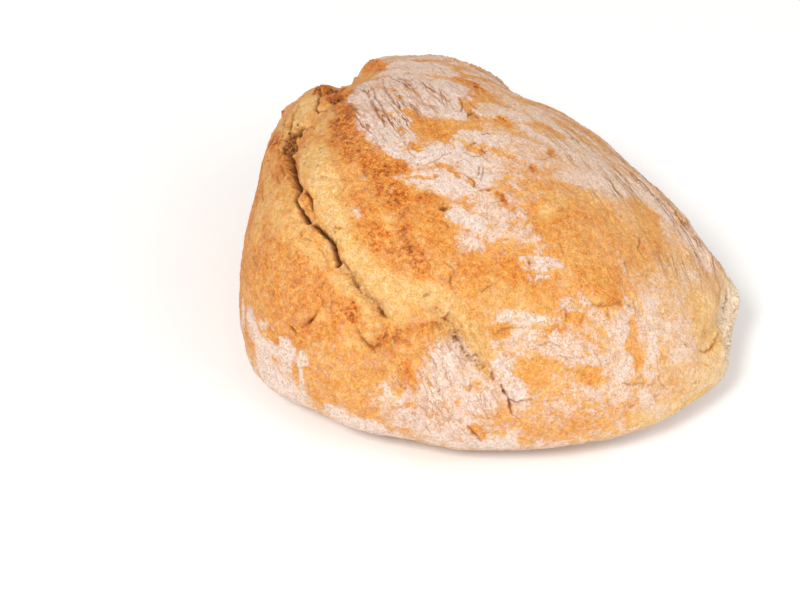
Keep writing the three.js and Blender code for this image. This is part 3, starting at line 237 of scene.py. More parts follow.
# Cracks and creases as paths: x, y, z, depth, half width.
CREASES = [
    [(-48.4, -78.9, 88.7, 2, 0.83), (-51.2, -75.9, 90.1, 4, 1.23), (-46.5, -76.1, 92.7, 3, 0.96), (-27.8, -81.7, 97.2, 5, 1.1), (-15.3, -85.1, 99.5, 3.5, 0.86), (-7.6, -86.9, 100.5, 4, 0.93), (-1.6, -88.7, 100.6, 4.5, 1.03), (1.9, -90.8, 99.7, 3, 0.83)],
    [(2.4, -87.3, 102.3, 1.5, 0.7), (7, -87.3, 102.9, 3, 0.8), (11.6, -88.3, 102.5, 4, 0.86), (14.6, -90.3, 101.2, 1.5, 0.7)],
    [(1.9, -90.8, 99.7, 3, 0.77), (7.1, -93, 98.6, 3, 0.8), (11.3, -93.8, 98.3, 4.5, 1.06), (15.7, -95, 97.4, 6, 1.26), (19, -94.9, 97.5, 3, 0.86)],
    [(20.9, -93.9, 98.2, 2.5, 0.83), (25.2, -93.1, 98.4, 4.5, 1), (31.5, -92.3, 98, 4, 0.9), (34.5, -91.5, 97.9, 4, 0.93), (38.3, -91.1, 97.2, 5.5, 1.19), (41.6, -92.1, 95.3, 4, 0.86), (45.1, -92.8, 93.5, 5, 1.1), (47.8, -93, 92.3, 6, 1.16), (48.9, -94.4, 90.7, 2, 0.77)],
    [(48.5, -91.1, 93.4, 0.6, 0.5), (52, -90.4, 92.3, 1.3, 0.7), (54.9, -90.1, 91, 0.7, 0.5), (58.7, -90.1, 89, 0.8, 0.6), (62.6, -90.1, 86.5, 1.5, 0.7), (66, -88.9, 85.2, 0.7, 0.5), (69.2, -87, 84.3, 0.7, 0.6), (72.4, -85.2, 83.3, 0.7, 0.5), (76.1, -84.7, 80.7, 0.9, 0.6), (78.2, -84.5, 78.9, 2.2, 0.8), (80.5, -82.8, 78.1, 1, 0.7)],
    [(128.3, -39.5, 46.4, 1, 0.5), (130.4, -36.3, 44.7, 1.1, 0.5), (131.6, -32.7, 45.8, 0.8, 0.4), (133.1, -29.1, 45.6, 0.4, 0.3)],
    [(54, -113.6, 63.5, 0.7, 0.4), (55.8, -111.2, 66.5, 2.4, 0.8), (56.3, -109.4, 69.3, 1.8, 0.7), (56.3, -107.3, 72.3, 0.7, 0.4)],
    [(47.6, -117.4, 60.2, 1, 0.6), (49.8, -116.9, 59.7, 1.6, 0.73), (52.1, -116.5, 58.8, 1, 0.6)],
    [(51, -102.9, 81.4, 0.7, 0.4), (49.2, -100, 85.4, 0.8, 0.4)],
    [(60.6, -102.5, 75.6, 0.6, 0.4), (58.7, -100.2, 79.7, 0.6, 0.4)],
    [(55.9, -105.6, 75.1, 0.6, 0.3), (56.7, -102.9, 77.9, 0.5, 0.3)],
    [(20.7, -99.4, 93.4, 0.7, 0.3), (26.5, -98.7, 93.6, 0.7, 0.35), (29.7, -97.8, 93.9, 0.4, 0.3)],
    [(35.5, -96.7, 93.5, 0.6, 0.3), (44.3, -96.1, 91.1, 0.6, 0.3)],
    [(83.9, -48.9, 92.6, 1.2, 0.6), (86.2, -50.5, 90.5, 0.9, 0.5)],
    [(95.1, -37.7, 87.6, 0.8, 0.4), (94.3, -34.6, 89, 0.8, 0.4), (94.6, -31.5, 89.4, 0.5, 0.3)],
    [(76.7, -49.1, 97.2, 0.7, 0.4), (80.9, -46.8, 95.2, 0.6, 0.4), (84.6, -46.5, 92.8, 0.4, 0.3)],
    [(122.4, -58.3, 33.4, 0.7, 0.5), (124.6, -55.5, 28.8, 1.1, 0.6), (126.6, -52.5, 23.8, 0.9, 0.6)],
    [(143.5, 16.6, 46.5, 0.4, 0.3), (144.5, 21.3, 44.9, 0.7, 0.35), (144.6, 25.3, 44.8, 0.5, 0.3), (145.4, 29.6, 43.1, 0.5, 0.3), (145.5, 33.1, 42.5, 0.3, 0.3)],
    [(144.2, 36, 44.4, 0.6, 0.3), (146.5, 38.1, 39.4, 0.6, 0.3)],
    [(101.1, 39, 83.9, 0.8, 0.4), (105, 37.8, 81.9, 0.8, 0.4), (108.2, 37.1, 80.1, 0.5, 0.3)],
    [(117.9, 34.8, 73.7, 0.5, 0.4), (122.6, 33.7, 70.2, 0.7, 0.4), (125.2, 33, 68, 0.4, 0.3)],
    [(121.6, 35.5, 70.7, 0.5, 0.3), (124.6, 34.5, 68.3, 0.5, 0.3)],
    [(87.3, 56.9, 84.8, 0.8, 0.5), (90.2, 55.2, 84.2, 1.4, 0.67), (93.6, 51.8, 83.9, 0.9, 0.5), (96.8, 51.7, 82.3, 0.6, 0.4), (99.7, 55, 79.6, 0.4, 0.3)],
    [(-59.6, -14.1, 114.3, 0.7, 0.4), (-42.6, -20.3, 117.6, 1, 0.5), (-29.7, -22.2, 119.3, 1, 0.6), (-17.4, -23.9, 120.2, 0.7, 0.5)],
    [(-54.7, -22.5, 114.9, 0.6, 0.4), (-39, -27.9, 117.5, 0.9, 0.5), (-23.9, -30.9, 119.1, 0.9, 0.5), (-16.6, -32.3, 119.6, 0.5, 0.4)],
    [(-49.5, -27.9, 115.4, 0.6, 0.4), (-32.1, -32.5, 117.9, 0.9, 0.5), (-19.2, -35.5, 118.9, 0.9, 0.5), (-10, -37.4, 119.5, 0.7, 0.6)],
    [(-38.9, -15.8, 118.4, 0.6, 0.4), (-29.2, -17.9, 119.5, 1, 0.4), (-21.8, -20, 120.1, 0.6, 0.4)],
    [(-38.7, -24.6, 117.9, 0.5, 0.3), (-25.7, -25.4, 119.5, 0.7, 0.4), (-14.6, -26.5, 120.2, 0.7, 0.4), (-5.5, -24.4, 120.7, 0.4, 0.3)],
    [(-20, -8.8, 120.1, 0.6, 0.3), (-12.7, -8, 120.3, 0.6, 0.35), (-8.2, -7.5, 120.3, 0.4, 0.3)],
    [(-21.1, 6.9, 118.3, 0.6, 0.3), (-18, 9.9, 117.9, 1, 0.5), (-11.5, 8.1, 118.4, 1, 0.5), (-5.1, 4, 119.1, 0.9, 0.5)],
    [(-17.6, 13.2, 117.2, 0.8, 0.4), (-11.9, 14.2, 117.1, 1.2, 0.6), (-6.8, 14.2, 117, 0.9, 0.5)],
    [(-0.2, 4.8, 118.8, 0.9, 0.5), (-5.1, 10.4, 117.9, 1.3, 0.6), (2.4, 10.9, 117.5, 0.7, 0.4)],
    [(50.8, -15.7, 112.5, 0.8, 0.5), (51.9, -12.4, 112.1, 1.6, 0.7), (51.5, -9.3, 112.1, 0.8, 0.5)],
    [(26, -10.3, 118.3, 0.9, 0.5), (29.8, -7.8, 117.5, 1.2, 0.6), (30.8, -4.3, 117, 1.2, 0.6), (34.2, -2.2, 116.1, 0.7, 0.4)],
    [(27.1, -33.9, 118.3, 0.5, 0.3), (27.2, -28.4, 118.5, 0.6, 0.35), (24.3, -22.4, 119.1, 0.6, 0.35), (23.2, -16.7, 119.1, 0.4, 0.3)],
    [(33.4, -31.1, 117.2, 0.5, 0.3), (35.3, -24.2, 116.9, 0.6, 0.35), (38.4, -19.2, 116.1, 0.6, 0.4), (44.3, -15.6, 114.4, 1, 0.6), (48.2, -17.7, 113.3, 0.8, 0.5)],
    [(5.6, -34.6, 120.3, 0.5, 0.3), (15.5, -36.4, 119.7, 0.6, 0.35), (20.6, -36.2, 119.2, 0.4, 0.3)],
    [(36.2, -8.4, 116.2, 0.6, 0.3), (40.6, -10.2, 115.3, 0.9, 0.4), (43.5, -14, 114.6, 0.7, 0.4)],
    [(36.7, -6.4, 115.9, 0.6, 0.3), (41.7, -8.6, 114.9, 0.9, 0.4), (45.4, -12.2, 114.1, 0.6, 0.4)],
    [(61.1, -40, 107.2, 0.7, 0.4), (63.7, -40.3, 106, 0.7, 0.4)],
    [(56.3, -60.9, 104.9, 0.7, 0.4), (59.6, -60.9, 103.4, 0.7, 0.5)],
    [(63.4, -59.6, 101.8, 0.5, 0.4), (69.9, -58.5, 98.6, 0.5, 0.4)],
    [(-74, 22.5, 106.3, 0.5, 0.3), (-61.5, 21.9, 109.8, 0.8, 0.4), (-51, 19.8, 112.4, 0.4, 0.3)],
    [(-64.5, 46.4, 100.5, 0.6, 0.4), (-47.9, 41.8, 105.6, 0.6, 0.4), (-53.9, 54, 98.8, 0.4, 0.3)],
    [(27.2, 67, 94.1, 0.5, 0.3), (26.6, 76.5, 88.5, 0.7, 0.4), (28.7, 83, 84, 0.5, 0.3)],
    [(62.1, 96.3, 70.2, 0.6, 0.4), (68.3, 97.6, 67.6, 0.7, 0.4), (72.2, 97.8, 66.4, 0.4, 0.3)],
    [(108.3, 44.1, 78.2, 0.6, 0.3), (106.3, 48.5, 78.1, 0.6, 0.3)],
    [(108.2, 48, 77, 0.6, 0.3), (104.8, 52.5, 77.6, 0.6, 0.3)],
    [(58.5, -57.1, 104.9, 0.4, 0.3), (64.5, -51.6, 103.4, 0.4, 0.3)],
    [(68.6, -96, 76.6, 0.8, 0.5), (71.3, -96.4, 73.7, 0.8, 0.5)],
    [(95.3, -62.5, 77.4, 0.7, 0.5), (98.1, -61.2, 75.3, 0.8, 0.5)],
    [(88.4, -82.3, 70.2, 0.7, 0.6), (89.3, -78.5, 72.6, 0.9, 0.6)],
    [(110.8, -37.5, 73.6, 0.5, 0.4), (110.7, -34.3, 74.9, 0.6, 0.4), (112.6, -28.7, 75, 0.6, 0.4), (114.4, -23.1, 74.9, 0.3, 0.3)],
    [(53.8, -93.3, 89.2, 0.4, 0.3), (57, -88, 91.5, 0.4, 0.3)],
    [(38, 25.9, 110.1, 0.6, 0.4), (36.4, 30.4, 109, 0.9, 0.5), (33.5, 38.2, 106.8, 0.5, 0.4)],
    [(114.5, 10.1, 79.1, 0.3, 0.5), (117.4, 14.1, 76.6, 0.6, 0.6), (118.8, 21.3, 75.1, 0.7, 0.6), (117.7, 27.6, 75.2, 0.3, 0.4)],
    [(108.1, -58.6, 65, 0.4, 0.3), (112.9, -52.8, 62.5, 0.4, 0.3)],
    [(135.9, 68, 43.4, 0.6, 0.5), (135.4, 72.6, 40.6, 1, 0.67), (133, 78.2, 39.5, 1, 0.7), (128.7, 84.4, 39.7, 0.6, 0.6), (120.8, 94.5, 38.8, 0.4, 0.5)],
    [(109.5, 104.8, 38.2, 0.9, 0.6), (101.2, 109.5, 39.4, 1.4, 0.73), (97.1, 109.7, 42.6, 1, 0.67)],
    [(130.1, 90.2, 27.4, 0.8, 0.6), (124.2, 97.2, 27, 1.2, 0.6)],
    [(-93.5, -34.5, 95.6, 2, 0.7), (-78.8, -41.3, 101.1, 3, 0.8), (-72.7, -45.2, 102.3, 2.5, 0.73), (-67.6, -48.1, 103.1, 3, 0.8), (-64.7, -51.3, 102.7, 2, 0.73), (-61.2, -51.8, 103.9, 1.2, 0.6)],
    [(-62.4, -51.6, 103.5, 1.2, 0.67), (-60.9, -49.4, 105.3, 1.4, 0.67), (-59, -47.2, 107, 1.8, 0.73), (-58.2, -44.4, 108.5, 2, 0.73), (-57.5, -41.6, 109.8, 1.6, 0.7)],
    [(-86.1, -50, 91.5, 1.2, 0.6), (-80.3, -54.3, 92.2, 2.2, 0.73), (-76.1, -58.3, 91.7, 2.6, 0.77), (-71.4, -61.4, 91.9, 3.5, 0.9), (-70.5, -63.6, 90.5, 2.5, 0.8)],
    [(-88.2, -56.3, 84.5, 1, 0.6), (-84.5, -59.8, 83.9, 1, 0.6), (-80.8, -62.8, 83.8, 0.8, 0.5)],
    [(-59.1, -67.1, 94.1, 2.5, 0.77), (-59.4, -65.3, 95.5, 1.5, 0.7), (-60.4, -62.6, 97.1, 0.8, 0.5)],
    [(-49.6, -78.4, 88.5, 3.5, 0.83), (-53.3, -75.9, 88.8, 5, 1.03), (-49.6, -76, 91, 6, 1.1), (-48.2, -74.7, 93.1, 4, 0.93)],
    [(-42.5, -77.1, 94, 4, 0.96), (-34.5, -80.2, 95.3, 5, 1.1), (-21.6, -83, 98.8, 4.5, 0.96), (-12.9, -85.6, 99.9, 4.5, 0.93), (-5.6, -87.3, 100.7, 5, 0.96), (-0.7, -88.1, 101.2, 5, 1)],
    [(0.6, 21.5, 114.7, 1, 0.6), (0.3, 24, 114, 1.8, 0.73), (2, 25.5, 113.4, 1.8, 0.73), (4.8, 25.1, 113.4, 1.2, 0.67)],
    [(-17, 41, 108, 0.7, 0.5), (-16.4, 45.1, 106.1, 0.9, 0.6)],
    [(-18.7, 47.8, 104.8, 0.7, 0.5), (-19.1, 53.2, 102.1, 0.9, 0.6)],
    [(-10.9, 31.8, 111.7, 0.6, 0.5), (-11.6, 37.8, 109.3, 0.8, 0.5)],
    [(-25.6, 69.4, 92.2, 0.5, 0.4), (-20.1, 71.4, 91, 0.7, 0.5), (-16.1, 71.4, 91.2, 0.5, 0.4)],
    [(14.1, 41.8, 106.9, 0.6, 0.4), (16.4, 44.1, 105.9, 0.9, 0.6)],
    [(15.8, 64, 96.1, 0.6, 0.4), (17.6, 66.7, 94.6, 0.8, 0.5)],
    [(12.5, 59.7, 98.5, 0.6, 0.5), (11, 63.2, 96.6, 0.8, 0.6)],
    [(21.8, 79.7, 86.5, 0.5, 0.4), (24.6, 83.1, 84, 0.8, 0.5), (29, 85.5, 82.3, 0.6, 0.4)],
    [(34.6, 84.3, 82.8, 0.5, 0.4), (45.4, 82.4, 83.1, 0.7, 0.5)],
    [(62.6, 95.2, 70.9, 0.7, 0.5), (67.9, 95.8, 69.2, 1, 0.6), (72.8, 96.7, 67.1, 0.6, 0.4)],
    [(88.4, 66.3, 80.2, 0.7, 0.5), (91.1, 67.2, 78.6, 0.6, 0.4)],
    [(99.3, 69.7, 73.3, 0.4, 0.3), (105.1, 62.3, 73.5, 0.5, 0.4)],
    [(86.7, 92.8, 64.9, 0.5, 0.4), (93.3, 93.2, 61.6, 0.8, 0.5)],
    [(97.2, 94, 58.8, 0.6, 0.4), (101.5, 93.3, 56.9, 0.6, 0.4)],
    [(114.2, -1.6, 78.9, 0.5, 0.4), (117.1, -2.5, 76.4, 0.9, 0.6), (118.3, -3.6, 75.2, 0.9, 0.6)],
    [(120.8, 2.8, 73.5, 0.5, 0.4), (118.6, 6, 75.7, 0.7, 0.5)],
    [(119.4, 18.2, 74.8, 0.6, 0.4), (121.9, 17.7, 72.7, 0.8, 0.5)],
    [(121.2, -21.5, 68.2, 0.4, 0.3), (122.7, -14.6, 68.7, 0.5, 0.3), (125.4, -10.5, 66.7, 0.4, 0.3)],
    [(121.9, -16.9, 68.9, 0.4, 0.3), (123.3, -13.8, 68.2, 0.4, 0.3)],
    [(102, -68.8, 65, 0.4, 0.4), (105.8, -67.4, 60.7, 0.7, 0.5), (107.9, -67.3, 57.4, 0.4, 0.3)],
    [(108.1, -64.3, 60.1, 0.4, 0.3), (110.8, -63.9, 55.9, 0.6, 0.4), (113.2, -62.4, 53, 0.4, 0.3)],
    [(116.5, -54.5, 55.3, 0.3, 0.3), (118.6, -55.4, 50.1, 0.4, 0.3)],
    [(110.7, -76.1, 33.9, 0.3, 0.3), (113.3, -73.6, 26.9, 0.5, 0.4)],
    [(108.4, -76.8, 41.5, 0.4, 0.3), (110.9, -74.7, 37.6, 0.5, 0.4), (112.5, -73.3, 35, 0.4, 0.3)],
    [(104.8, -79.3, 46.5, 0.3, 0.3), (105.4, -76.5, 50.3, 0.4, 0.3)],
    [(114.4, -68.9, 39.5, 0.3, 0.3), (120.9, -60.3, 35, 0.4, 0.3)],
    [(124.6, -41.2, 52.6, 1.2, 0.5), (126.2, -40.8, 49.8, 1.9, 0.67), (127.7, -39.8, 47.4, 1.5, 0.5), (128.6, -39.2, 45.9, 1.8, 0.6), (129.7, -39.1, 43.2, 1.9, 0.6), (130.8, -39, 40.3, 1.2, 0.5), (131.7, -38.4, 38.3, 0.5, 0.3), (133.2, -36.3, 36.3, 0.4, 0.3)],
    [(119.6, -44.2, 58.8, 1.2, 0.6), (121.6, -44.5, 55.2, 1.4, 0.67)],
    [(75.1, -96.5, 69.9, 0.5, 0.6), (78.4, -95.9, 67, 0.9, 0.73), (81.8, -93.9, 65.2, 1.2, 0.77), (85.1, -91.2, 64.5, 1.2, 0.77), (86.6, -88, 66.5, 1, 0.7)],
    [(-45.8, -89.8, 76.3, 0.8, 0.5), (-35.5, -94.6, 77.9, 1.2, 0.67), (-27.4, -97.2, 80.4, 0.6, 0.5)],
    [(-49.2, -83.6, 82.5, 0.6, 0.5), (-36.2, -87.8, 86.5, 0.8, 0.5)],
    [(-39.1, -82, 91.1, 0.8, 0.5), (-20.4, -86.7, 96.3, 0.8, 0.5)],
    [(-16.9, -86.6, 97.7, 0.8, 0.5), (-6.2, -88.7, 99.5, 0.9, 0.6)],
    [(-31.5, -86.9, 90.4, 0.7, 0.5), (-18.9, -90.4, 93.5, 0.7, 0.5)],
    [(0.5, -114.4, 69.6, 0.5, 0.4), (7.5, -115.7, 69.8, 0.6, 0.4)],
    [(-13.6, -106.8, 75.3, 0.7, 0.5), (-12.9, -105.9, 77.3, 0.5, 0.4)],
    [(-2.6, -118.5, 57.1, 0.5, 0.4), (3, -120.4, 55.3, 0.6, 0.5)],
    [(14.5, -126.8, 29, 0.4, 0.4), (23.4, -127.4, 29.4, 0.6, 0.5)],
    [(2.6, -124.7, 30.6, 0.5, 0.4), (14, -126.5, 33.1, 0.6, 0.5)],
    [(19.1, -52.6, 117.1, 0.6, 0.5), (24.1, -53.5, 116.3, 0.9, 0.6)],
    [(13.6, -62.4, 115, 0.5, 0.4), (18.6, -62.2, 114.7, 0.6, 0.5)],
    [(-108.5, 3.2, 93.2, 0.5, 0.4), (-91.8, -1.7, 102.7, 0.6, 0.4)],
    [(-40.9, -40.8, 114.5, 0.8, 0.6), (-33.2, -41.1, 115.9, 1, 0.67)],
    [(136.8, 40.7, 54.3, 0.3, 0.3), (139.9, 41.6, 50, 0.4, 0.3)],
    [(131.8, 5.2, 62.2, 0.4, 0.3), (134.8, 7.1, 58.7, 0.4, 0.3)],
    [(128.2, -11.8, 63, 0.4, 0.3), (131, -4.9, 61.4, 0.5, 0.3)],
]
# Soft folds: x, y, z, depth, half width.
FOLDS = [
    [(-26.9, -60.6, 110.5, 0.8, 2), (-16.4, -63, 112, 2, 2), (-9.4, -66.2, 112, 1.4, 2), (-4.4, -69.7, 111.3, 0.6, 2)],
    [(39.6, -77.7, 104.7, 0.3, 3), (47.4, -76.8, 102.5, 0.8, 3), (54.8, -77.2, 99.1, 0.5, 3)],
    [(7.7, -46.3, 118.9, 0.4, 3), (23, -49, 117.3, 1, 3), (37.8, -54.3, 113.2, 1, 3), (53.6, -59, 106.6, 0.9, 3), (62.8, -61.4, 101.5, 0.7, 3)],
    [(72.8, -95.7, 73.2, 0.6, 2.5), (76.7, -96.2, 68.4, 1.2, 2.5), (83, -93.2, 64.6, 1.2, 2.5), (87.7, -88.3, 64.5, 0.6, 2.5)],
    [(19.4, 71.4, 91.8, 0.4, 3), (56.4, 76.5, 85, 0.8, 3), (90.7, 80.3, 71.7, 0.6, 3)],
    [(101.1, 35.9, 84.7, 0.3, 2.5), (113.7, 33.3, 77.2, 1, 2.5), (121.4, 29.5, 71.9, 0.6, 2.5)],
    [(109.9, -35.4, 75.4, 0.5, 2), (115.8, -22.1, 73.8, 0.7, 2), (116.8, -6.2, 76.2, 0.4, 2)],
    [(21, -99.2, 93.7, 0.6, 2), (34.2, -96.7, 93.9, 1, 2), (45.4, -96.2, 90.7, 0.6, 2)],
    [(-50.9, -7.8, 116.2, 0.4, 3), (-25.9, -14.9, 119.9, 0.6, 3), (-10.6, -12.6, 120.6, 0.5, 3)],
    [(-21, 17.5, 116.1, 0.4, 2.5), (2.3, 9.3, 117.8, 1, 2.5), (12.7, 8.3, 117.5, 0.5, 2.5)],
    [(92.2, 96, 59.9, 0.5, 3), (105.9, 96.2, 51.3, 1.2, 3), (115, 100.3, 38.3, 1, 3)],
]
# Shallow stretched bands with coarse pores: x, y, z, depth, half width.
BANDS = [
    [(88.8, -62, 83.8, 0.6, 2.5), (93.7, -59, 80.8, 1.3, 3.2), (99.8, -57.2, 75.8, 1.8, 4), (105.1, -55.5, 70.8, 2, 4.2), (110.8, -52.3, 65.7, 1.8, 3.8), (116.5, -48.6, 60.4, 1.6, 3), (120.5, -45.1, 56.5, 1.2, 2)],
    [(49, -90.6, 93.5, 0.6, 2), (57.2, -90, 89.9, 1.2, 3), (63.6, -89.5, 86.4, 1.4, 3.2), (69.9, -86.8, 84, 1.2, 2.6), (77, -84.5, 80, 1.4, 3)],
]
# Single pores: x, y, z, radius, depth.
PITS = [
    (59.8, 46, 98.7, 1.1, 2.2), (27.2, -0.6, 117.3, 1.3, 1.6), (29.6, -3.1, 117.1, 1, 1.2), (3, 25, 113.5, 1, 1), (32.9, 34.9, 108.1, 1, 0.9),
    (44.3, 18.1, 110.7, 1, 0.9), (53.9, -37.9, 110.4, 1.8, 2), (-3.4, 7.7, 118.4, 1.2, 1.2), (-5, 10.9, 117.8, 1, 1), (128.3, 77.3, 46.6, 0.7, 1.2),
    (134.9, 57.7, 50.7, 0.6, 0.8), (144.4, 61.1, 31.7, 0.7, 0.8), (111.3, -68.2, 49.4, 0.5, 1), (111.7, -62.3, 56, 0.5, 0.6), (85.7, -84.9, 70.9, 1, 1.4),
    (87.5, -79.8, 73.5, 1, 1.2), (89, -78.4, 73, 0.9, 1.2), (89.9, -81.9, 68.8, 0.9, 0.9), (90, -79.9, 70.6, 0.8, 0.8), (96.5, -60.9, 77.1, 1, 1),
    (84.6, -62.6, 87, 1.2, 0.8), (107.8, -54.6, 68.1, 1.4, 1.4), (103.4, -56.2, 72.4, 1.4, 1.6), (104.9, -55.3, 71.2, 1.2, 1.6), (95.9, -58.5, 79, 1.3, 1.4),
    (95.3, -56.6, 80.5, 1, 1), (91.1, -59.9, 82.8, 1, 0.9), (114, -50.1, 62.9, 1, 1.2), (117.3, -47.4, 60, 1, 1), (62.3, -90, 86.9, 1.3, 1.2),
    (77.9, -84.4, 79.3, 1.5, 1.8), (35, -87.8, 100.3, 0.8, 0.8), (6.2, -77.3, 108.8, 0.7, 0.5), (-4, -76.1, 108.3, 0.6, 0.6), (27.7, -77.1, 107.8, 0.7, 0.6),
    (45.7, -80.9, 101, 0.8, 1), (23.9, -75.8, 109, 0.6, 0.6), (30.1, -117.6, 67.7, 0.7, 0.6), (26.3, -118.4, 66.6, 0.6, 0.5), (-10.5, -106.8, 77.2, 0.8, 0.6),
    (4.5, -120.4, 56.4, 0.8, 0.6), (28.2, -104.3, 87.7, 1, 0.8), (-23.9, -90.7, 90.7, 0.9, 0.7), (-33, -95.6, 78.4, 1.2, 0.8), (-59.3, -86.1, 68.8, 1.1, 0.7),
    (-12, -95, 91.8, 0.8, 0.6), (20.4, -2.7, 118.5, 1.4, 1), (-40.6, -16.1, 118.1, 1, 0.7), (-111.7, -8.1, 90.3, 0.7, 0.8), (59, -7.3, 109.5, 1, 0.8),
    (28.4, 43.7, 105.3, 0.9, 0.8), (30.9, 99.2, 71.2, 1.2, 0.5), (-112.8, -7.1, 89.6, 0.7, 1), (-109.2, 1.2, 92.7, 0.7, 0.8), (-82, -2.2, 107, 0.9, 0.8),
    (-65.4, 24, 108.3, 0.8, 1), (-53.8, 30.6, 108.9, 0.6, 0.6), (-61.1, 44.4, 102.1, 0.8, 0.8), (-49, 41.2, 105.7, 0.9, 1), (14.5, 8.5, 117.3, 1.4, 1.2),
    (15, 5.9, 117.8, 1, 1), (91.5, -9.7, 94.3, 1.1, 1.2), (97.1, -20.3, 89.7, 0.7, 1), (124.2, 24.6, 70.1, 0.7, 1), (119.6, 30.9, 73.1, 0.8, 0.8),
    (116.9, 15.4, 77, 0.9, 1), (112.4, 1.9, 80.6, 0.7, 0.8), (59.8, 46, 98.7, 0.9, 2), (99.4, -37.2, 84.4, 0.7, 0.8), (108, -39.9, 75.5, 0.6, 0.7),
    (33.4, -86.6, 101.5, 0.7, 0.8), (35.6, -87.4, 100.4, 0.7, 0.8), (28.7, -76, 108.1, 0.7, 0.7), (5, -78.2, 108.3, 0.9, 0.9), (-4, -76.1, 108.3, 0.7, 0.7),
    (3.1, -81.8, 106, 0.8, 0.6), (87.7, -79.4, 73.6, 0.9, 1.4), (88.8, -78.3, 73.4, 0.8, 1.4), (85.4, -84.9, 71.2, 1, 1.6), (89.7, -81.3, 69.7, 0.8, 1),
    (90, -79.9, 70.6, 0.8, 1), (85.9, -89.4, 65.7, 1, 1), (83.7, -91.9, 65.4, 0.7, 0.8), (111.2, -68.2, 49.9, 0.6, 1), (111.9, -68, 48.5, 0.5, 0.8),
    (125.7, -53.4, 19.5, 0.6, 0.6), (127.5, -49.4, 18.6, 0.6, 0.6), (101.9, -81.7, 49.4, 0.6, 0.6), (100.6, -83.2, 49.6, 0.5, 0.5), (107.1, -80.3, 36.4, 0.7, 0.6),
    (105.3, -81.6, 39.9, 0.6, 0.5), (102.3, -55.7, 73.9, 1, 1.6), (104.4, -55.6, 71.6, 1.2, 1.8), (105.4, -55, 70.9, 0.9, 1.4), (95.1, -56.5, 80.8, 0.8, 1),
    (96.1, -58, 79.1, 1.1, 1.4), (101.8, -51.8, 76.5, 0.9, 1), (102.1, -54, 75.1, 0.8, 1), (109.3, -54.2, 66.5, 1, 1.2), (111.1, -53, 64.9, 1.1, 1.4),
    (112.9, -52.3, 62.9, 0.9, 1), (112.5, -49.4, 65.4, 0.7, 0.8), (115.8, -48.8, 61.2, 0.8, 0.9), (117.3, -47.4, 60, 0.8, 1), (98.8, -55.6, 77.6, 0.7, 0.8),
    (92.3, -58.9, 82.2, 0.8, 0.9), (90.5, -60.2, 83.1, 0.8, 0.8), (94.3, -63.7, 77.7, 0.8, 0.9), (96.6, -62.1, 76.3, 0.8, 0.9), (62.3, -90, 86.9, 0.9, 1.4),
    (65.7, -89.3, 85.1, 0.7, 1), (67.6, -87.4, 85.2, 0.6, 0.9), (68.3, -88.8, 83.6, 0.7, 0.9), (70.8, -86.1, 83.8, 0.7, 0.9), (72.7, -85.9, 82.5, 0.6, 0.8),
    (75.5, -84.9, 81, 0.8, 1), (77.9, -84.4, 79.3, 1.3, 2), (80.2, -83.2, 78.1, 1, 1.4), (81.4, -82.6, 77.5, 0.8, 1), (79.1, -78.1, 82.9, 0.7, 0.7),
    (79.2, -70.1, 87.5, 0.5, 0.5), (84.5, -63.6, 86.6, 0.8, 0.7), (85.2, -62.4, 86.7, 0.7, 0.7),
]
# Directions of the fine wrinkles: from, to.
WRINKLE_TOP = [(-54.4, -20.8, 115.1), (-4.4, -26.1, 120.7)]
WRINKLE_RIDGE = [(17.1, 89.7, 79.1), (80.5, 93.6, 66.9)]
WRINKLE_FRONT = [(105.9, -65.4, 62.4), (115.7, -61.4, 49.0)]


GRID = 660      # cells along each side of the folded grid


def smooth(a, b, x):
    t = np.clip((x - a) / (b - a), 0, 1)
    return t * t * (3 - 2 * t)


def unit(v):
    return v / np.maximum(1e-12, np.linalg.norm(v, axis=-1, keepdims=True))


def base(n):
    """The plain dough body: a lopsided superellipse over a rolled-in foot."""
    B = BASE
    nx, ny, nz = n[:, 0], n[:, 1], n[:, 2]
    ph = np.arctan2(ny, nx)
    ce = np.sqrt(np.maximum(0, 1 - np.clip(nz, -1, 1) ** 2))
    se = np.abs(nz)
    A = B["a"] * (1 + B["c1"] * np.cos(ph) + B["s1"] * np.sin(ph) + B["c2"] * np.cos(2 * ph)
                  + B["s2"] * np.sin(2 * ph) + B["c3"] * np.cos(3 * ph) + B["s3"] * np.sin(3 * ph))
    e = 2 / (B["nt"] + B["nc"] * np.cos(ph) + B["ns"] * np.sin(ph))
    up = nz >= 0
    r = np.where(up, np.maximum(ce, 1e-12) ** e, ce)
    z = np.where(up, B["zw"] + (B["H"] - B["zw"]) * se ** e, B["zw"] - B["zw"] * (1 + B["zd"]) * se)
    k = np.clip((z - B["zw"]) / (B["H"] - B["zw"]), 0, 1)
    X = B["x0"] + A * r * np.cos(ph) + B["px"] * k
    Y = B["y0"] + A * r * np.sin(ph) + B["py"] * k
    Z = np.where(up, B["zw"] + (z - B["zw"]) * (1 - (B["tx"] * (X - B["x0"]) + B["ty"] * (Y - B["y0"])) / 130), z)
    return np.stack([X, Y, Z], -1)


def base_normal(n, eps=2e-3):
    a = np.where(np.abs(n[:, 2:3]) < 0.9, np.array([0, 0, 1.0]), np.array([1.0, 0, 0]))
    t1 = unit(np.cross(a, n))
    t2 = np.cross(n, t1)
    d1 = base(unit(n + eps * t1)) - base(unit(n - eps * t1))
    d2 = base(unit(n + eps * t2)) - base(unit(n - eps * t2))
    N = unit(np.cross(d1, d2))
    N[n[:, 2] > 0.99999] = (0, 0, 1)
    N[n[:, 2] < -0.99999] = (0, 0, -1)
    return N


# ----------------------------------------------------------------------------
# Seeded noise.
# ----------------------------------------------------------------------------
RNG = np.random.default_rng(20)
PERM = RNG.permutation(1024).astype(np.int64)
GRAD = unit(RNG.normal(size=(1024, 3)))
SPOT = RNG.uniform(0, 1, size=(1024, 4))


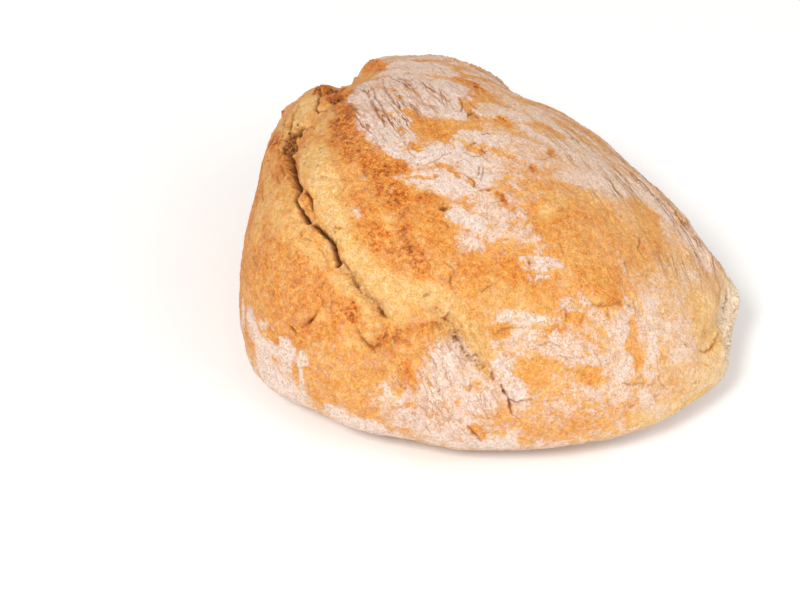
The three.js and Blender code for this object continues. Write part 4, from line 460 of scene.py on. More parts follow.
def noise(P, size, seed=0):
    q = P / size + np.array([17.3, 5.7, 11.9]) * (seed + 1)
    i = np.floor(q).astype(np.int64)
    f = q - i
    w = f * f * f * (f * (f * 6 - 15) + 10)
    out = np.zeros(len(P))
    for dx in (0, 1):
        hx = PERM[(i[:, 0] + dx) & 1023]
        wx = w[:, 0] if dx else 1 - w[:, 0]
        for dy in (0, 1):
            hy = PERM[(hx + i[:, 1] + dy) & 1023]
            wy = wx * (w[:, 1] if dy else 1 - w[:, 1])
            for dz in (0, 1):
                g = GRAD[PERM[(hy + i[:, 2] + dz) & 1023]]
                wz = wy * (w[:, 2] if dz else 1 - w[:, 2])
                out += wz * ((f[:, 0] - dx) * g[:, 0] + (f[:, 1] - dy) * g[:, 1] + (f[:, 2] - dz) * g[:, 2])
    return out * 1.7


def fbm(P, size, octaves, seed=0, gain=0.5):
    out, a, tot = np.zeros(len(P)), 1.0, 0.0
    for o in range(octaves):
        out += a * noise(P, size / 2 ** o, seed + 3 * o)
        tot += a
        a *= gain
    return out / tot


def cells(P, size, seed=0):
    """Distance to the nearest of scattered points, in millimetres, and that point's own random number."""
    q = P / size + np.array([3.1, 9.7, 6.3]) * (seed + 1)
    i = np.floor(q).astype(np.int64)
    f = q - i
    best, rid = np.full(len(P), 9.0), np.zeros(len(P))
    for dx in (-1, 0, 1):
        hx = PERM[(i[:, 0] + dx) & 1023]
        for dy in (-1, 0, 1):
            hy = PERM[(hx + i[:, 1] + dy) & 1023]
            for dz in (-1, 0, 1):
                s = SPOT[PERM[(hy + i[:, 2] + dz) & 1023]]
                d = (f[:, 0] - dx - s[:, 0]) ** 2 + (f[:, 1] - dy - s[:, 1]) ** 2 + (f[:, 2] - dz - s[:, 2]) ** 2
                m = d < best
                best = np.where(m, d, best)
                rid = np.where(m, s[:, 3], rid)
    return np.sqrt(best) * size, rid


# ----------------------------------------------------------------------------
# Fields laid down along points, capsules and paths.
# ----------------------------------------------------------------------------
def lumps(P, rows):
    d = np.zeros(len(P))
    for x, y, z, s, a in rows:
        i = np.nonzero((np.abs(P[:, 0] - x) < 4 * s) & (np.abs(P[:, 1] - y) < 4 * s) & (np.abs(P[:, 2] - z) < 4 * s))[0]
        q = P[i] - (x, y, z)
        d[i] += a * np.exp(-(q * q).sum(1) / (2 * s * s))
    return d


def reach(P, a, b, r):
    lo, hi = np.minimum(a, b) - r, np.maximum(a, b) + r
    i = np.nonzero((P[:, 0] > lo[0]) & (P[:, 0] < hi[0]) & (P[:, 1] > lo[1]) & (P[:, 1] < hi[1])
                   & (P[:, 2] > lo[2]) & (P[:, 2] < hi[2]))[0]
    q, L = P[i] - a, b - a
    l2 = L @ L
    t = np.clip(q @ L / l2, 0, 1) if l2 > 1e-6 else np.zeros(len(i))
    return i, t, np.linalg.norm(q - t[:, None] * L, axis=1)


def furrow(P, path, narrow=1.0):
    out = np.zeros(len(P))
    for a, b in zip(path[:-1], path[1:]):
        i, t, d = reach(P, np.array(a[:3], float), np.array(b[:3], float), 4.5 * max(a[4], b[4]))
        dep, w = a[3] + (b[3] - a[3]) * t, narrow * (a[4] + (b[4] - a[4]) * t)
        out[i] = np.maximum(out[i], dep * np.exp(-d * d / (2 * w * w)))
    return out


def patches(P, rows, inner=0.4, outer=1.6):
    out = np.zeros(len(P))
    for r in rows:
        i, t, d = reach(P, np.array(r[:3], float), np.array(r[3:6], float), outer * r[6])
        out[i] = np.maximum(out[i], r[7] * smooth(outer, inner, d / r[6]))
    return out


def creases(P, paths, rag):
    """Depth, painted shade that is darker where the path runs deeper, and raised lips along the paths. rag is a field
    that makes them ragged.
    """
    dep, painted_shade, lip = np.zeros(len(P)), np.zeros(len(P)), np.zeros(len(P))
    for path in paths:
        for a, b in zip(path[:-1], path[1:]):
            w0 = max(a[4], b[4], 0.5)
            i, t, d = reach(P, np.array(a[:3], float), np.array(b[:3], float), 3.6 * w0 + 0.8)
            D = a[3] + (b[3] - a[3]) * t
            w = (a[4] + (b[4] - a[4]) * t) * (1 + 0.45 * rag[i])
            wg = np.maximum(w, 0.5)
            dep[i] = np.maximum(dep[i], D * np.exp(-(d / wg) ** 2.4))
            painted_shade[i] = np.maximum(painted_shade[i], np.minimum(0.86, 0.22 + D / 3.6) * np.exp(-(d / np.maximum(w, 0.38)) ** 2.6))
            lip[i] = np.maximum(lip[i], 0.16 * np.minimum(D, 3) * np.exp(-((d - 2.1 * wg) / (0.9 * wg)) ** 2))
    return dep, painted_shade, lip


def wrinkles(P, N, line, across, along, seed):
    a, b = np.array(line[0]), np.array(line[1])
    j = int(np.argmin(((P - (a + b) / 2) ** 2).sum(1)))
    u = unit((b - a)[None])[0]
    v = np.cross(N[j], u)
    w = np.cross(u, v)
    Q = np.stack([P @ u / along, P @ v / across, P @ w / along], 1)
    k, k2 = np.abs(noise(Q, 1.0, seed)), np.abs(noise(Q, 0.55, seed + 2))
    gate = smooth(-0.35, 0.35, noise(Q, 2.2, seed + 4))
    thin = np.maximum(smooth(0.20, 0.03, k), 0.6 * smooth(0.24, 0.04, k2)) * gate
    return thin, 0.6 * noise(Q, 0.8, seed + 6) + 0.4 * noise(Q, 0.4, seed + 7)


# ----------------------------------------------------------------------------
# The grid: an octahedron folded flat, with more of its cells on the crown.
# ----------------------------------------------------------------------------
def build():
    n1 = GRID + 1
    s = np.linspace(-1, 1, n1)
    U, V = np.meshgrid(s, s, indexing="ij")
    u, v = U.ravel(), V.ravel()
    t = np.abs(u) + np.abs(v)
    top = t <= 1
    su, sv = np.where(u < 0, -1, 1), np.where(v < 0, -1, 1)
    den = np.where(top, np.maximum(t, 1e-12), np.maximum(2 - t, 1e-12))
    ax = np.where(top, u, (1 - np.abs(v)) * su) / den
    ay = np.where(top, v, (1 - np.abs(u)) * sv) / den
    tw = np.where(t < 1.3, t / 1.3, 1 + (t - 1.3) / 0.7)
    m = 1 - np.abs(1 - tw)
    n = unit(np.stack([ax * m, ay * m, 1 - tw], -1))
    n[(t < 1e-9)] = (0, 0, 1)
    n[(t > 2 - 1e-9)] = (0, 0, -1)

    # The square's rim closes on itself.
    idx = np.arange(n1 * n1).reshape(n1, n1)
    rep = idx.copy()
    half = GRID // 2
    for k in range(half + 1):
        rep[0, n1 - 1 - k] = rep[0, k]
        rep[n1 - 1, n1 - 1 - k] = rep[n1 - 1, k]
        rep[n1 - 1 - k, 0] = rep[k, 0]
        rep[n1 - 1 - k, n1 - 1] = rep[k, n1 - 1]
    for c in ((0, 0), (0, n1 - 1), (n1 - 1, 0), (n1 - 1, n1 - 1)):
        rep[c] = 0
    rep = rep.ravel()
    keep, inv = np.unique(rep, return_inverse=True)
    a, b, c, d = rep[idx[:-1, :-1]], rep[idx[1:, :-1]], rep[idx[1:, 1:]], rep[idx[:-1, 1:]]
    quads = np.stack([x.ravel() for x in (a, b, c, d)], 1)
    lookup = np.zeros(n1 * n1, np.int64)
    lookup[keep] = np.arange(len(keep))
    uv = np.stack([(u + 1) / 2, (v + 1) / 2], 1)
    qi = np.stack([x.ravel() for x in (idx[:-1, :-1], idx[1:, :-1], idx[1:, 1:], idx[:-1, 1:])], 1)
    return n[keep], lookup[quads], uv[qi.ravel()]


DIRS, QUADS, UVS = build()
P0 = base(DIRS)
N0 = base_normal(DIRS)
crown = smooth(2, 12, P0[:, 2])                     # 0 underneath, 1 on the visible crust
form = lumps(P0, SWELLINGS) + lumps(P0, FORMS) + lumps(P0, RISES)
form -= 0.70 * furrow(P0, BURST, 0.55) + 0.8 * furrow(P0, SIDE_SPLIT, 0.8) + furrow(P0, END_CLEFT)
for fold in FOLDS:
    form -= furrow(P0, fold)

# Ragged edges for everything laid over the crust.
n7, n7b, n7c = noise(P0, 8, 1), noise(P0, 8, 2), noise(P0, 8, 3)
n2, n2b, n2c = noise(P0, 2.6, 4), noise(P0, 2.6, 5), noise(P0, 2.6, 6)
n1_ = noise(P0, 1.3, 7)
WARP = np.stack([1.9 * n7 + 0.8 * n2, 1.9 * n7b + 0.8 * n2b, 1.9 * n7c + 0.8 * n2c], 1)
PW = P0 + WARP
PF = P0 + 0.25 * np.stack([n7, n7b, n7c], 1) + 0.55 * np.stack([n2, n2b, n2c], 1)

f_broad = fbm(P0, 34, 3, 11)
f_mid = fbm(P0, 11, 3, 12)
f_fine = fbm(P0, 3.2, 3, 13)
f_grain = noise(P0, 1.15, 14)

flour_p = patches(PW, FLOUR)
bare_p = patches(PW, BARE)
toast_p = patches(PW, TOAST)
bloom_p = patches(PW, BLOOM, 0.2, 1.8)
crumb_p = patches(PF, CRUMB, 0.6, 1.35)
PH = P0 + 1.0 * np.stack([n7, n7b, n7c], 1) + 1.3 * np.stack([n2, n2b, n2c], 1)
hollow_p = patches(PH, HOLLOWS, 0.7, 1.25)

# How far a place lies from the modelled front: the rest gets a plausible crust.
AWAY = N0 @ np.array((-0.694, 0.369, -0.618))
back = smooth(-0.26, 0.10, AWAY) * crown
foot = smooth(34, 10, P0[:, 2] + 4 * n7)
rim = smooth(29, 20, P0[:, 2] + 3.5 * n7 + 1.5 * n2)
# The torn end, where another loaf was baked against this one.
torn = smooth(0.78, 0.90, N0 @ np.array((0.456, 0.890, 0.019)) + 0.03 * n7) * smooth(9, 16, P0[:, 2]) * smooth(66, 48, P0[:, 2] + 4 * n7b)
crumb_p = np.maximum(crumb_p, 0.95 * torn)
ragged = patches(P0, RAGGED, 0.5, 1.9)

# Smeared flour: noise pulled into curls by a broader noise.
n20 = np.stack([noise(P0, 26, 51), noise(P0, 26, 52), noise(P0, 26, 53)], 1)
smear = fbm((P0 + 11 * n20) * (1, 1, 1.5), 7.5, 4, 54, 0.6)
smear2 = fbm((P0 + 6 * n20) * (1, 1, 2.2), 3.1, 2, 58)

# Fine wrinkles of the skin.
t_top, s_top = wrinkles(P0, N0, WRINKLE_TOP, 4.4, 22, 31)
t_rdg, s_rdg = wrinkles(P0, N0, WRINKLE_RIDGE, 4.2, 26, 41)
t_frt, s_frt = wrinkles(P0, N0, WRINKLE_FRONT, 3.6, 16, 61)


def around(line, outer, inner):
    c = (np.array(line[0]) + np.array(line[1])) / 2
    return smooth(outer, inner, np.linalg.norm(P0 - c, axis=1))


m_top, m_rdg, m_frt = around(WRINKLE_TOP, 46, 18), around(WRINKLE_RIDGE, 90, 34), around(WRINKLE_FRONT, 46, 18)
m_rdg = m_rdg * (1 - m_top)
thin = np.clip(np.maximum(np.maximum(m_top * t_top, 0.75 * m_rdg * t_rdg), 0.6 * m_frt * t_frt), 0, 1)
soft = m_top * s_top + m_rdg * s_rdg + m_frt * s_frt
thin *= 1 - 0.85 * smooth(0.25, 0.6, bare_p)

# --- flour -------------------------------------------------------------------
right = smooth(-10, 60, P0[:, 1]) * smooth(-40, 40, P0[:, 0])
lobe = smooth(20, -50, P0[:, 0] * 0.9 + 0.25 * (P0[:, 1] + 110)) * smooth(-40, -70, P0[:, 1])
far = back * (1 - 0.8 * lobe) * (1 - torn)
fl = 0.15 + 0.16 * right - 0.10 * lobe + 0.92 * flour_p - 0.95 * bare_p - 0.55 * toast_p - 0.35 * bloom_p
fl += far * (0.08 + 0.45 * smooth(55, 98, P0[:, 2]) + 0.75 * f_broad + 0.25 * smear) + 0.20 * foot + 0.34 * rim
fl += 0.26 * f_mid + 0.26 * f_fine + 0.40 * smear + 0.22 * smear2
strong = np.clip(0.45 + 0.56 * flour_p + 0.15 * f_mid + far * 0.35 + 0.10 * foot + 0.30 * rim, 0, 1) * (1 - 0.25 * thin)
plain = np.clip(1 - 0.8 * bare_p - 0.6 * toast_p, 0, 1)
film = np.clip(0.04 + 0.17 * right - 0.05 * lobe + 0.10 * far + 0.20 * smear + 0.14 * smear2, 0, 0.36) * (1 - 0.9 * toast_p) * (1 - 0.92 * bare_p)
clean = (1 - crumb_p) * (1 - hollow_p)
fl = fl + 0.10 * soft
flour = smooth(0.26, 0.80, fl) * clean

# --- relief ------------------------------------------------------------------
# A scatter of small tears and scratches over the whole crust.
scratch = []
pick = RNG.choice(np.nonzero(P0[:, 2] > 14)[0], 170, replace=False)
for j in pick:
    way = unit(np.cross(N0[j], RNG.normal(size=3))[None])[0]
    length, depth = RNG.uniform(2.0, 7.0), RNG.uniform(0.25, 0.8)
    bend = unit(np.cross(N0[j], way)[None])[0] * RNG.uniform(-1.2, 1.2)
    pts = [P0[j] - way * length / 2, P0[j] + bend, P0[j] + way * length / 2]
    scratch.append([(*pts[0], 0.2 * depth, 0.3), (*pts[1], depth, 0.45), (*pts[2], 0.1 * depth, 0.3)])
# Creases and scratches: besides their depth they get painted shade, darker where they run deeper.
cd, crease_shade, clip_ = creases(PF, CREASES, n2)
sd_, scratch_shade, slip = creases(PF, scratch, n2)
cd, crease_shade, clip_ = np.maximum(cd, sd_), np.maximum(crease_shade, 0.5 * scratch_shade), np.maximum(clip_, slip)
bd, bdark, _ = creases(PF, BANDS, n2b)
# Pits: dug into the crust and given painted shade, darker the deeper the pit.
pits_d, pit_shade = np.zeros(len(P0)), np.zeros(len(P0))
for x, y, z, r, dep in PITS:
    i, t, d = reach(PF, np.array((x, y, z), float), np.array((x, y, z), float), 2.2 * r + 0.6)
    d = d * (1 + 0.8 * n1_[i] + 0.5 * n2[i])
    pits_d[i] = np.maximum(pits_d[i], 0.8 * dep * np.exp(-(np.abs(d) / max(r, 0.55)) ** 2.4))
    pit_shade[i] = np.maximum(pit_shade[i], min(0.72, 0.26 + dep / 4.0) * np.exp(-(np.abs(d) / (r * 0.85)) ** 2.6))

pore_d, pore_r = cells(P0 * (1, 1, 0.75), 4.6, 2)
pore = smooth(0.95, 0.25, pore_d / (0.35 + 0.65 * pore_r)) * (pore_r > 0.45)
grit_d, grit_r = cells(P0, 2.1, 5)
grit = smooth(1.2, 0.2, grit_d)

rough_amp = (0.55 + 0.9 * toast_p + 0.45 * (f_mid + 0.5).clip(0, 1) - 0.35 * bare_p * (1 - toast_p)) * crown
relief = 0.65 * f_broad + 0.46 * f_mid
relief += rough_amp * (0.46 * f_fine + 0.20 * f_grain)
relief += 0.16 * (flour - 0.4) - 0.22 * smooth(0.35, 0.75, bare_p)
relief += ragged * (0.3 + 1.2 * np.abs(n2) + 1.0 * n1_ + 0.7 * f_fine)
relief += -0.35 * thin + 0.22 * soft + 0.22 * smear * (1 - lobe) + 0.12 * smear2
relief -= (0.35 + 0.35 * lobe) * pore * crown * (1 - 0.6 * flour)
relief += 0.12 * grit * toast_p
relief *= 0.25 + 0.75 * crown
cav_depth = hollow_p * (5.4 + 1.8 * f_fine + 1.4 * n1_ + 0.9 * np.abs(n2b))
crumb_rough = crumb_p * (0.35 * f_fine + 0.25 * n1_) + torn * (0.9 * f_fine + 0.5 * n1_ - 0.3)
relief += -cd * (1 + 0.15 * n2) + clip_ - bd * (0.8 + 0.5 * n2c) - pits_d - cav_depth + crumb_rough

P = P0 + N0 * (form + relief)[:, None]
P[:, 2] = np.maximum(P[:, 2], 0)

# --- tone of the crust: 0 pale, 1 deeply toasted ------------------------------
tone = 0.50 + 0.10 * f_broad + 0.12 * f_mid + 0.15 * f_fine + 0.08 * f_grain - 0.08 * smear
tone += 0.30 * toast_p * (1 + 0.9 * f_fine) + 0.06 * smooth(0.2, 0.8, bare_p) - 0.34 * bloom_p * (1 + 0.4 * f_fine)
# Wrinkle lines and pores are toned darker: painted shade in these small recesses. The grit speckle on toasted crust is
# the crust's own colour.
tone += 0.10 * thin
tone += 0.10 * pore + 0.05 * toast_p * (grit - 0.5) * 4
tone += 0.05 * lobe - 0.12 * right - 0.08 * foot + 0.14 * far * (f_broad + 0.3)
tone = np.clip(tone, 0, 1)
# Painted shade: creases, scratches, pits, pores and wrinkle lines get a darkening mask, stronger where they are deeper.
painted_shade = np.maximum(np.maximum(crease_shade, pit_shade), 0.35 * pore * crown * (0.4 + 0.6 * lobe))
painted_shade = np.clip(np.maximum(painted_shade, 0.16 * thin), 0, 1)
band = np.clip(bdark, 0, 1)
fields = {"tone": tone, "flour": fl, "strong": strong * clean, "film": film * clean,
          "wrinkle_top": m_top * (1 - bare_p), "wrinkle_ridge": m_rdg * (1 - 0.8 * bare_p), "wrinkle_front": m_frt * (1 - bare_p),
          "lobe": lobe * crown * (1 - 0.7 * np.clip(flour_p, 0, 1)), "crumb": np.clip(crumb_p, 0, 1), "hollow": np.clip(hollow_p, 0, 1),
          "painted_shade": painted_shade, "band": band, "toast": np.clip(toast_p, 0, 1), "torn": np.clip(torn, 0, 1), "plain": plain, "under": smooth(6, 0.5, P[:, 2])}

me = bpy.data.meshes.new("loaf_crust")
me.vertices.add(len(P))
me.vertices.foreach_set("co", (P * MM).astype(np.float32).ravel())
me.loops.add(QUADS.size)
me.loops.foreach_set("vertex_index", QUADS.astype(np.int32).ravel())
me.polygons.add(len(QUADS))
me.polygons.foreach_set("loop_start", np.arange(0, QUADS.size, 4, dtype=np.int32))
me.update(calc_edges=True)
me.validate()
uvl = me.uv_layers.new(name="OFBake")
uvl.data.foreach_set("uv", UVS.astype(np.float32).ravel())
for name, val in fields.items():
    at = me.attributes.new(name, "FLOAT", "POINT")
    at.data.foreach_set("value", val.astype(np.float32))
me.shade_smooth()
loaf = bpy.data.objects.new("loaf_crust", me)
bpy.context.scene.collection.objects.link(loaf)


# ----------------------------------------------------------------------------
# Material.
# ----------------------------------------------------------------------------
def crust_material():
    mat = bpy.data.materials.new("crust")
    mat.use_nodes = True
    nt = mat.node_tree
    nodes, links = nt.nodes, nt.links
    nodes.clear()

    def node(kind, **kw):
        nd = nodes.new(kind)
        for k, v in kw.items():
            setattr(nd, k, v)
        return nd

    def put(sock, val):
        if isinstance(val, bpy.types.NodeSocket):
            links.new(val, sock)
        else:
            sock.default_value = val

    def math_(op, a, b=0.0, c=None, clamp=False):
        nd = node("ShaderNodeMath", operation=op, use_clamp=clamp)
        put(nd.inputs[0], a)
        put(nd.inputs[1], b)
        if c is not None:
            put(nd.inputs[2], c)
        return nd.outputs[0]

    def mix(f, a, b, blend="MIX"):
        nd = node("ShaderNodeMix", data_type="RGBA", blend_type=blend)
        put(nd.inputs["Factor"], f)
        put(nd.inputs[6], a)
        put(nd.inputs[7], b)
        return nd.outputs[2]

    def attr(name):
        return node("ShaderNodeAttribute", attribute_name=name).outputs["Fac"]

    def tex(scale, detail=3.0, rough=0.55, twist=0.0):
        nd = node("ShaderNodeTexNoise")
        nd.inputs["Distortion"].default_value = twist
        links.new(coord, nd.inputs["Vector"])
        nd.inputs["Scale"].default_value = scale
        nd.inputs["Detail"].default_value = detail
        nd.inputs["Roughness"].default_value = rough
        return nd.outputs["Fac"]

    def remap(v, a, b, c=0.0, d=1.0, kind="SMOOTHSTEP"):
        nd = node("ShaderNodeMapRange", interpolation_type=kind)
        put(nd.inputs["Value"], v)
        for nm, x in (("From Min", a), ("From Max", b), ("To Min", c), ("To Max", d)):
            nd.inputs[nm].default_value = x
        return nd.outputs["Result"]

    coord = node("ShaderNodeTexCoord").outputs["Object"]
    fine, mid, micro, mott = tex(1150, 2), tex(330, 3), tex(2600, 1), tex(640, 2.5, 0.6)
    vein_n, gate_n, crack_n, speck_n = tex(430, 2, 0.55, 1.6), tex(125, 2), tex(360, 2, 0.5, 2.2), tex(820, 1.5, 0.5, 0.8)

    def centred(v, gain):
        return math_("MULTIPLY", math_("SUBTRACT", v, 0.5), gain)

    def wrinkle_lines(line, across, along, width):
        """Hair-thin creases that run along one direction, broken into stretches."""
        a, b = np.array(line[0]), np.array(line[1])
        j = int(np.argmin(((P0 - (a + b) / 2) ** 2).sum(1)))
        u = unit((b - a)[None])[0]
        v = unit(np.cross(N0[j], u)[None])[0]
        w = np.cross(u, v)
        comb = node("ShaderNodeCombineXYZ")
        for k, (d, s) in enumerate(((u, along), (v, across), (w, along))):
            dot = node("ShaderNodeVectorMath", operation="DOT_PRODUCT")
            links.new(coord, dot.inputs[0])
            dot.inputs[1].default_value = tuple(float(x) * 1000 / s for x in d)
            links.new(dot.outputs["Value"], comb.inputs[k])
        n_ = node("ShaderNodeTexNoise")
        links.new(comb.outputs[0], n_.inputs["Vector"])
        n_.inputs["Scale"].default_value = 1.0
        n_.inputs["Detail"].default_value = 2.0
        n_.inputs["Distortion"].default_value = 0.5
        g_ = node("ShaderNodeTexNoise")
        links.new(comb.outputs[0], g_.inputs["Vector"])
        g_.inputs["Scale"].default_value = 0.43
        g_.inputs["Detail"].default_value = 1.0
        thin_ = remap(math_("ABSOLUTE", math_("SUBTRACT", n_.outputs["Fac"], 0.5)), width, width * 0.15)
        return math_("MULTIPLY", thin_, remap(g_.outputs["Fac"], 0.44, 0.60))

    lines_ = math_("MULTIPLY", wrinkle_lines(WRINKLE_TOP, 2.9, 17, 0.07), attr("wrinkle_top"))
    lines_ = math_("MAXIMUM", lines_, math_("MULTIPLY", math_("MULTIPLY", wrinkle_lines(WRINKLE_RIDGE, 2.7, 22, 0.07), attr("wrinkle_ridge")), 0.95))
    lines_ = math_("MAXIMUM", lines_, math_("MULTIPLY", math_("MULTIPLY", wrinkle_lines(WRINKLE_FRONT, 2.6, 9, 0.05), attr("wrinkle_front")), 0.5))

    vor = node("ShaderNodeTexVoronoi")
    links.new(coord, vor.inputs["Vector"])
    vor.inputs["Scale"].default_value = 300.0
    sep = node("ShaderNodeSeparateColor")
    links.new(vor.outputs["Color"], sep.inputs["Color"])
    size_ = remap(sep.outputs["Red"], 0.35, 1.0, 0.0, 0.32, "LINEAR")
    pores = remap(math_("SUBTRACT", vor.outputs["Distance"], size_), 0.05, -0.10)
    pores = math_("MULTIPLY", pores, remap(attr("lobe"), 0.0, 1.0, 0.14, 1.0, "LINEAR"))

    # Pale strands, hair-thin cracks and dark specks, all broken up.
    veins = math_("MULTIPLY", remap(math_("ABSOLUTE", math_("SUBTRACT", vein_n, 0.5)), 0.028, 0.004), remap(gate_n, 0.38, 0.56))
    cracks = math_("MULTIPLY", remap(math_("ABSOLUTE", math_("SUBTRACT", crack_n, 0.5)), 0.022, 0.003), remap(gate_n, 0.58, 0.44))
    specks = remap(speck_n, 0.57, 0.68)
    tone_ = math_("ADD", attr("tone"), centred(fine, 0.85))
    tone_ = math_("ADD", tone_, centred(mid, 0.80))
    tone_ = math_("ADD", tone_, math_("MULTIPLY", attr("toast"), centred(mott, 1.3)), clamp=True)
    ramp = node("ShaderNodeValToRGB")
    links.new(tone_, ramp.inputs["Fac"])
    el = ramp.color_ramp.elements
    stops = CRUST_STOPS
    el[0].position, el[0].color = stops[0][0], (*stops[0][1], 1)
    el[1].position, el[1].color = stops[-1][0], (*stops[-1][1], 1)
    for pos, colr in stops[1:-1]:
        e = el.new(pos)
        e.color = (*colr, 1)
    col = ramp.outputs["Color"]

    # Flour lies in flakes with ragged rims, over a thin uneven dusting.
    fsig = math_("ADD", attr("flour"), centred(fine, 0.6))
    fsig = math_("ADD", fsig, centred(mott, 1.0))
    fsig = math_("ADD", fsig, centred(mid, 1.8))
    cover = remap(fsig, 0.16, 0.84)
    fac = math_("MULTIPLY", cover, attr("strong"))
    fac = math_("MULTIPLY", fac, remap(fine, 0.30, 0.56, 0.74, 1.0, "LINEAR"))
    fac = math_("MULTIPLY", fac, math_("SUBTRACT", 1.0, math_("MULTIPLY", math_("MAXIMUM", cracks, math_("MULTIPLY", specks, 0.7)), 0.50)))
    dust = math_("MULTIPLY", attr("film"), remap(mott, 0.3, 0.7, 0.3, 1.8, "LINEAR"))
    fac = math_("MAXIMUM", fac, dust)
    fac = math_("MULTIPLY", fac, math_("SUBTRACT", 1.0, math_("MULTIPLY", lines_, 0.75)), clamp=True)
    flour_col = mix(mott, (*FLOUR_COL[0], 1), (*FLOUR_COL[1], 1))
    col = mix(fac, col, flour_col)
    col = mix(math_("MULTIPLY", math_("MULTIPLY", veins, attr("plain")), 0.36), col, (*VEIN_COL, 1))

    # Pale crumb, painted shade in the hollow (mottled from near black to dark brown), speckled bands.
    crumb_col = mix(remap(mid, 0.35, 0.65), (*CRUMB_COL[0], 1), (*CRUMB_COL[1], 1))
    col = mix(math_("MULTIPLY", attr("crumb"), 0.85), col, crumb_col)
    col = mix(math_("MULTIPLY", attr("torn"), 0.75), col, (*TORN_COL, 1))
    hol = attr("hollow")
    hollow_shade_col = mix(remap(mott, 0.40, 0.60), (*HOLLOW_SHADE_COL[0], 1), (*HOLLOW_SHADE_COL[1], 1))
    col = mix(remap(hol, 0.05, 0.7, 0.0, 0.92), col, hollow_shade_col)
    bnd = attr("band")
    speck = remap(math_("ADD", mott, math_("MULTIPLY", bnd, 0.12)), 0.56, 0.70)
    col = mix(math_("MULTIPLY", bnd, 0.28), col, (*CRUMB_COL[0], 1))
    col = mix(math_("MULTIPLY", math_("MULTIPLY", bnd, speck), 0.8), col, (*BAND_COL, 1))
    # Painted shade in creases, pits, pores and wrinkle lines, together with the real hairline cracks and specks,
    # darkens the colour. The deepest shade goes to near black.
    shade_and_specks = math_("MAXIMUM", attr("painted_shade"), math_("MULTIPLY", pores, 0.72))
    shade_and_specks = math_("MAXIMUM", shade_and_specks, math_("MULTIPLY", lines_, 0.50))
    shade_and_specks = math_("MAXIMUM", shade_and_specks, math_("MULTIPLY", math_("MAXIMUM", cracks, specks), 0.17))
    shade_and_specks = math_("ADD", shade_and_specks, math_("MULTIPLY", attr("painted_shade"), centred(mott, 0.5)))
    col = mix(remap(shade_and_specks, 0.0, 0.5, 0.0, 0.82, "LINEAR"), col, (*SHADE_AND_SPECK_COL, 1))
    col = mix(remap(shade_and_specks, 0.42, 0.9, 0.0, 0.94), col, (*DEEP_SHADE_COL, 1))
    col = mix(math_("MULTIPLY", attr("under"), 0.55), col, (*UNDER_COL, 1))

    bs = node("ShaderNodeBsdfPrincipled")
    links.new(col, bs.inputs["Base Color"])
    rough_ = math_("ADD", math_("MULTIPLY", fac, 0.25), math_("MULTIPLY", mid, 0.25))
    links.new(math_("ADD", rough_, 0.48, clamp=True), bs.inputs["Roughness"])
    bs.inputs["Specular IOR Level"].default_value = 0.18
    hgt = math_("ADD", math_("MULTIPLY", fine, 0.55), math_("MULTIPLY", micro, 0.16))
    hgt = math_("ADD", hgt, math_("MULTIPLY", mott, 0.7))
    hgt = math_("ADD", hgt, math_("MULTIPLY", mid, 0.6))
    hgt = math_("ADD", hgt, math_("MULTIPLY", fac, 0.22))
    hgt = math_("SUBTRACT", hgt, math_("MULTIPLY", lines_, 0.6))
    hgt = math_("ADD", hgt, math_("MULTIPLY", veins, 0.35))
    hgt = math_("SUBTRACT", hgt, math_("MULTIPLY", cracks, 0.35))
    hgt = math_("SUBTRACT", hgt, math_("MULTIPLY", pores, 0.6))
    b1 = node("ShaderNodeBump")
    b1.inputs["Strength"].default_value = 0.8
    b1.inputs["Distance"].default_value = 0.0010
    links.new(hgt, b1.inputs["Height"])
    links.new(b1.outputs["Normal"], bs.inputs["Normal"])
    out = node("ShaderNodeOutputMaterial")
    links.new(bs.outputs["BSDF"], out.inputs["Surface"])
    return mat


CRUST_STOPS = [
    (0.00, (0.92, 0.61, 0.27)),
    (0.20, (0.87, 0.49, 0.150)),
    (0.45, (0.82, 0.365, 0.078)),
    (0.65, (0.75, 0.255, 0.038)),
    (0.85, (0.60, 0.145, 0.020)),
    (1.00, (0.28, 0.07, 0.014)),
]
FLOUR_COL = [(0.84, 0.64, 0.535), (0.93, 0.80, 0.735)]
VEIN_COL = (0.92, 0.74, 0.50)
CRUMB_COL = [(0.91, 0.63, 0.29), (0.87, 0.49, 0.16)]
TORN_COL = (0.96, 0.83, 0.65)
# Hollow colours: painted shade down to near black, mottled with the real toasted brown of the cavity walls.
HOLLOW_SHADE_COL = [(0.045, 0.012, 0.003), (0.54, 0.19, 0.045)]
BAND_COL = (0.26, 0.19, 0.09)
# Painted shade colours: the first also tints the real hairline cracks and specks; the second is near-black painted
# shade for the deepest creases, pits and pores.
SHADE_AND_SPECK_COL = (0.36, 0.12, 0.03)
DEEP_SHADE_COL = (0.085, 0.030, 0.010)
UNDER_COL = (0.78, 0.52, 0.30)

me.materials.append(crust_material())
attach(loaf, "root")
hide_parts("loaf")

# ----------------------------------------------------------------------------
# Camera, floor and light.
# ----------------------------------------------------------------------------
centre = (CAD_LO + CAD_HI) / 2
AIM = centre + Vector((0.05174, -0.05863, -0.0007))
RIGHT = Vector((0.4560871, 0.8897301, 0.0191005))
UP = Vector((-0.5566212, 0.2684534, 0.7861969))
FORWARD = Vector((-0.6943755, 0.3692060, -0.6176808))
DISTANCE = 1.07405

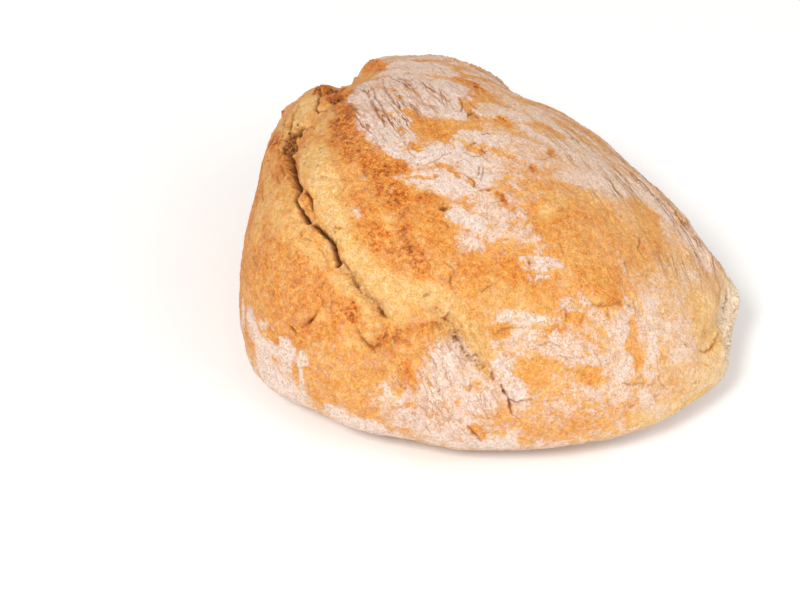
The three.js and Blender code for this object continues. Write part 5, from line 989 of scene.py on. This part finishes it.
cam_data = bpy.data.cameras.new("camera")
cam_data.lens = 96.7285
cam_data.sensor_width = 36.0
cam_data.clip_start, cam_data.clip_end = 0.01, 50.0
cam = bpy.data.objects.new("camera", cam_data)
bpy.context.scene.collection.objects.link(cam)
rot = Matrix((RIGHT, UP, -FORWARD)).transposed()
cam.matrix_world = Matrix.Translation(AIM - FORWARD * DISTANCE) @ rot.to_4x4()
bpy.context.scene.camera = cam

floor_me = bpy.data.meshes.new("floor")
R = 4.0
floor_me.from_pydata([(-R, -R, 0), (R, -R, 0), (R, R, 0), (-R, R, 0)], [], [(0, 1, 2, 3)])
floor = bpy.data.objects.new("floor", floor_me)
bpy.context.scene.collection.objects.link(floor)
fm = bpy.data.materials.new("floor")
fm.use_nodes = True
fb = fm.node_tree.nodes["Principled BSDF"]
fb.inputs["Base Color"].default_value = (0.96, 0.96, 0.96, 1)
fb.inputs["Roughness"].default_value = 0.9
fb.inputs["Specular IOR Level"].default_value = 0.1
floor_me.materials.append(fm)

world = bpy.data.worlds.new("world")
bpy.context.scene.world = world
world.use_nodes = True
bg = world.node_tree.nodes["Background"]
bg.inputs["Color"].default_value = (1.0, 0.995, 0.985, 1)
bg.inputs["Strength"].default_value = 0.64


KEY_POS, KEY_POWER = (0.9, -1.25, 1.5), 28.0
FILL_POS, FILL_POWER = (1.4, 0.9, 1.2), 11.5


def area(name, offset, size, power, colour):
    ld = bpy.data.lights.new(name, "AREA")
    ld.shape, ld.size, ld.energy, ld.color = "DISK", size, power, colour
    ob = bpy.data.objects.new(name, ld)
    ob.location = centre + Vector(offset)
    ob.rotation_mode = "QUATERNION"
    ob.rotation_quaternion = (-Vector(offset)).to_track_quat("-Z", "Y")
    bpy.context.scene.collection.objects.link(ob)
    return ob


area("key", KEY_POS, 0.6, KEY_POWER, (1.0, 0.985, 0.96))
area("fill", FILL_POS, 1.6, FILL_POWER, (1.0, 0.99, 0.98))

sc = bpy.context.scene
sc.view_settings.view_transform = "Standard"
sc.view_settings.look = "None"
sc.view_settings.exposure = 0.0
sc.view_settings.gamma = 1.0
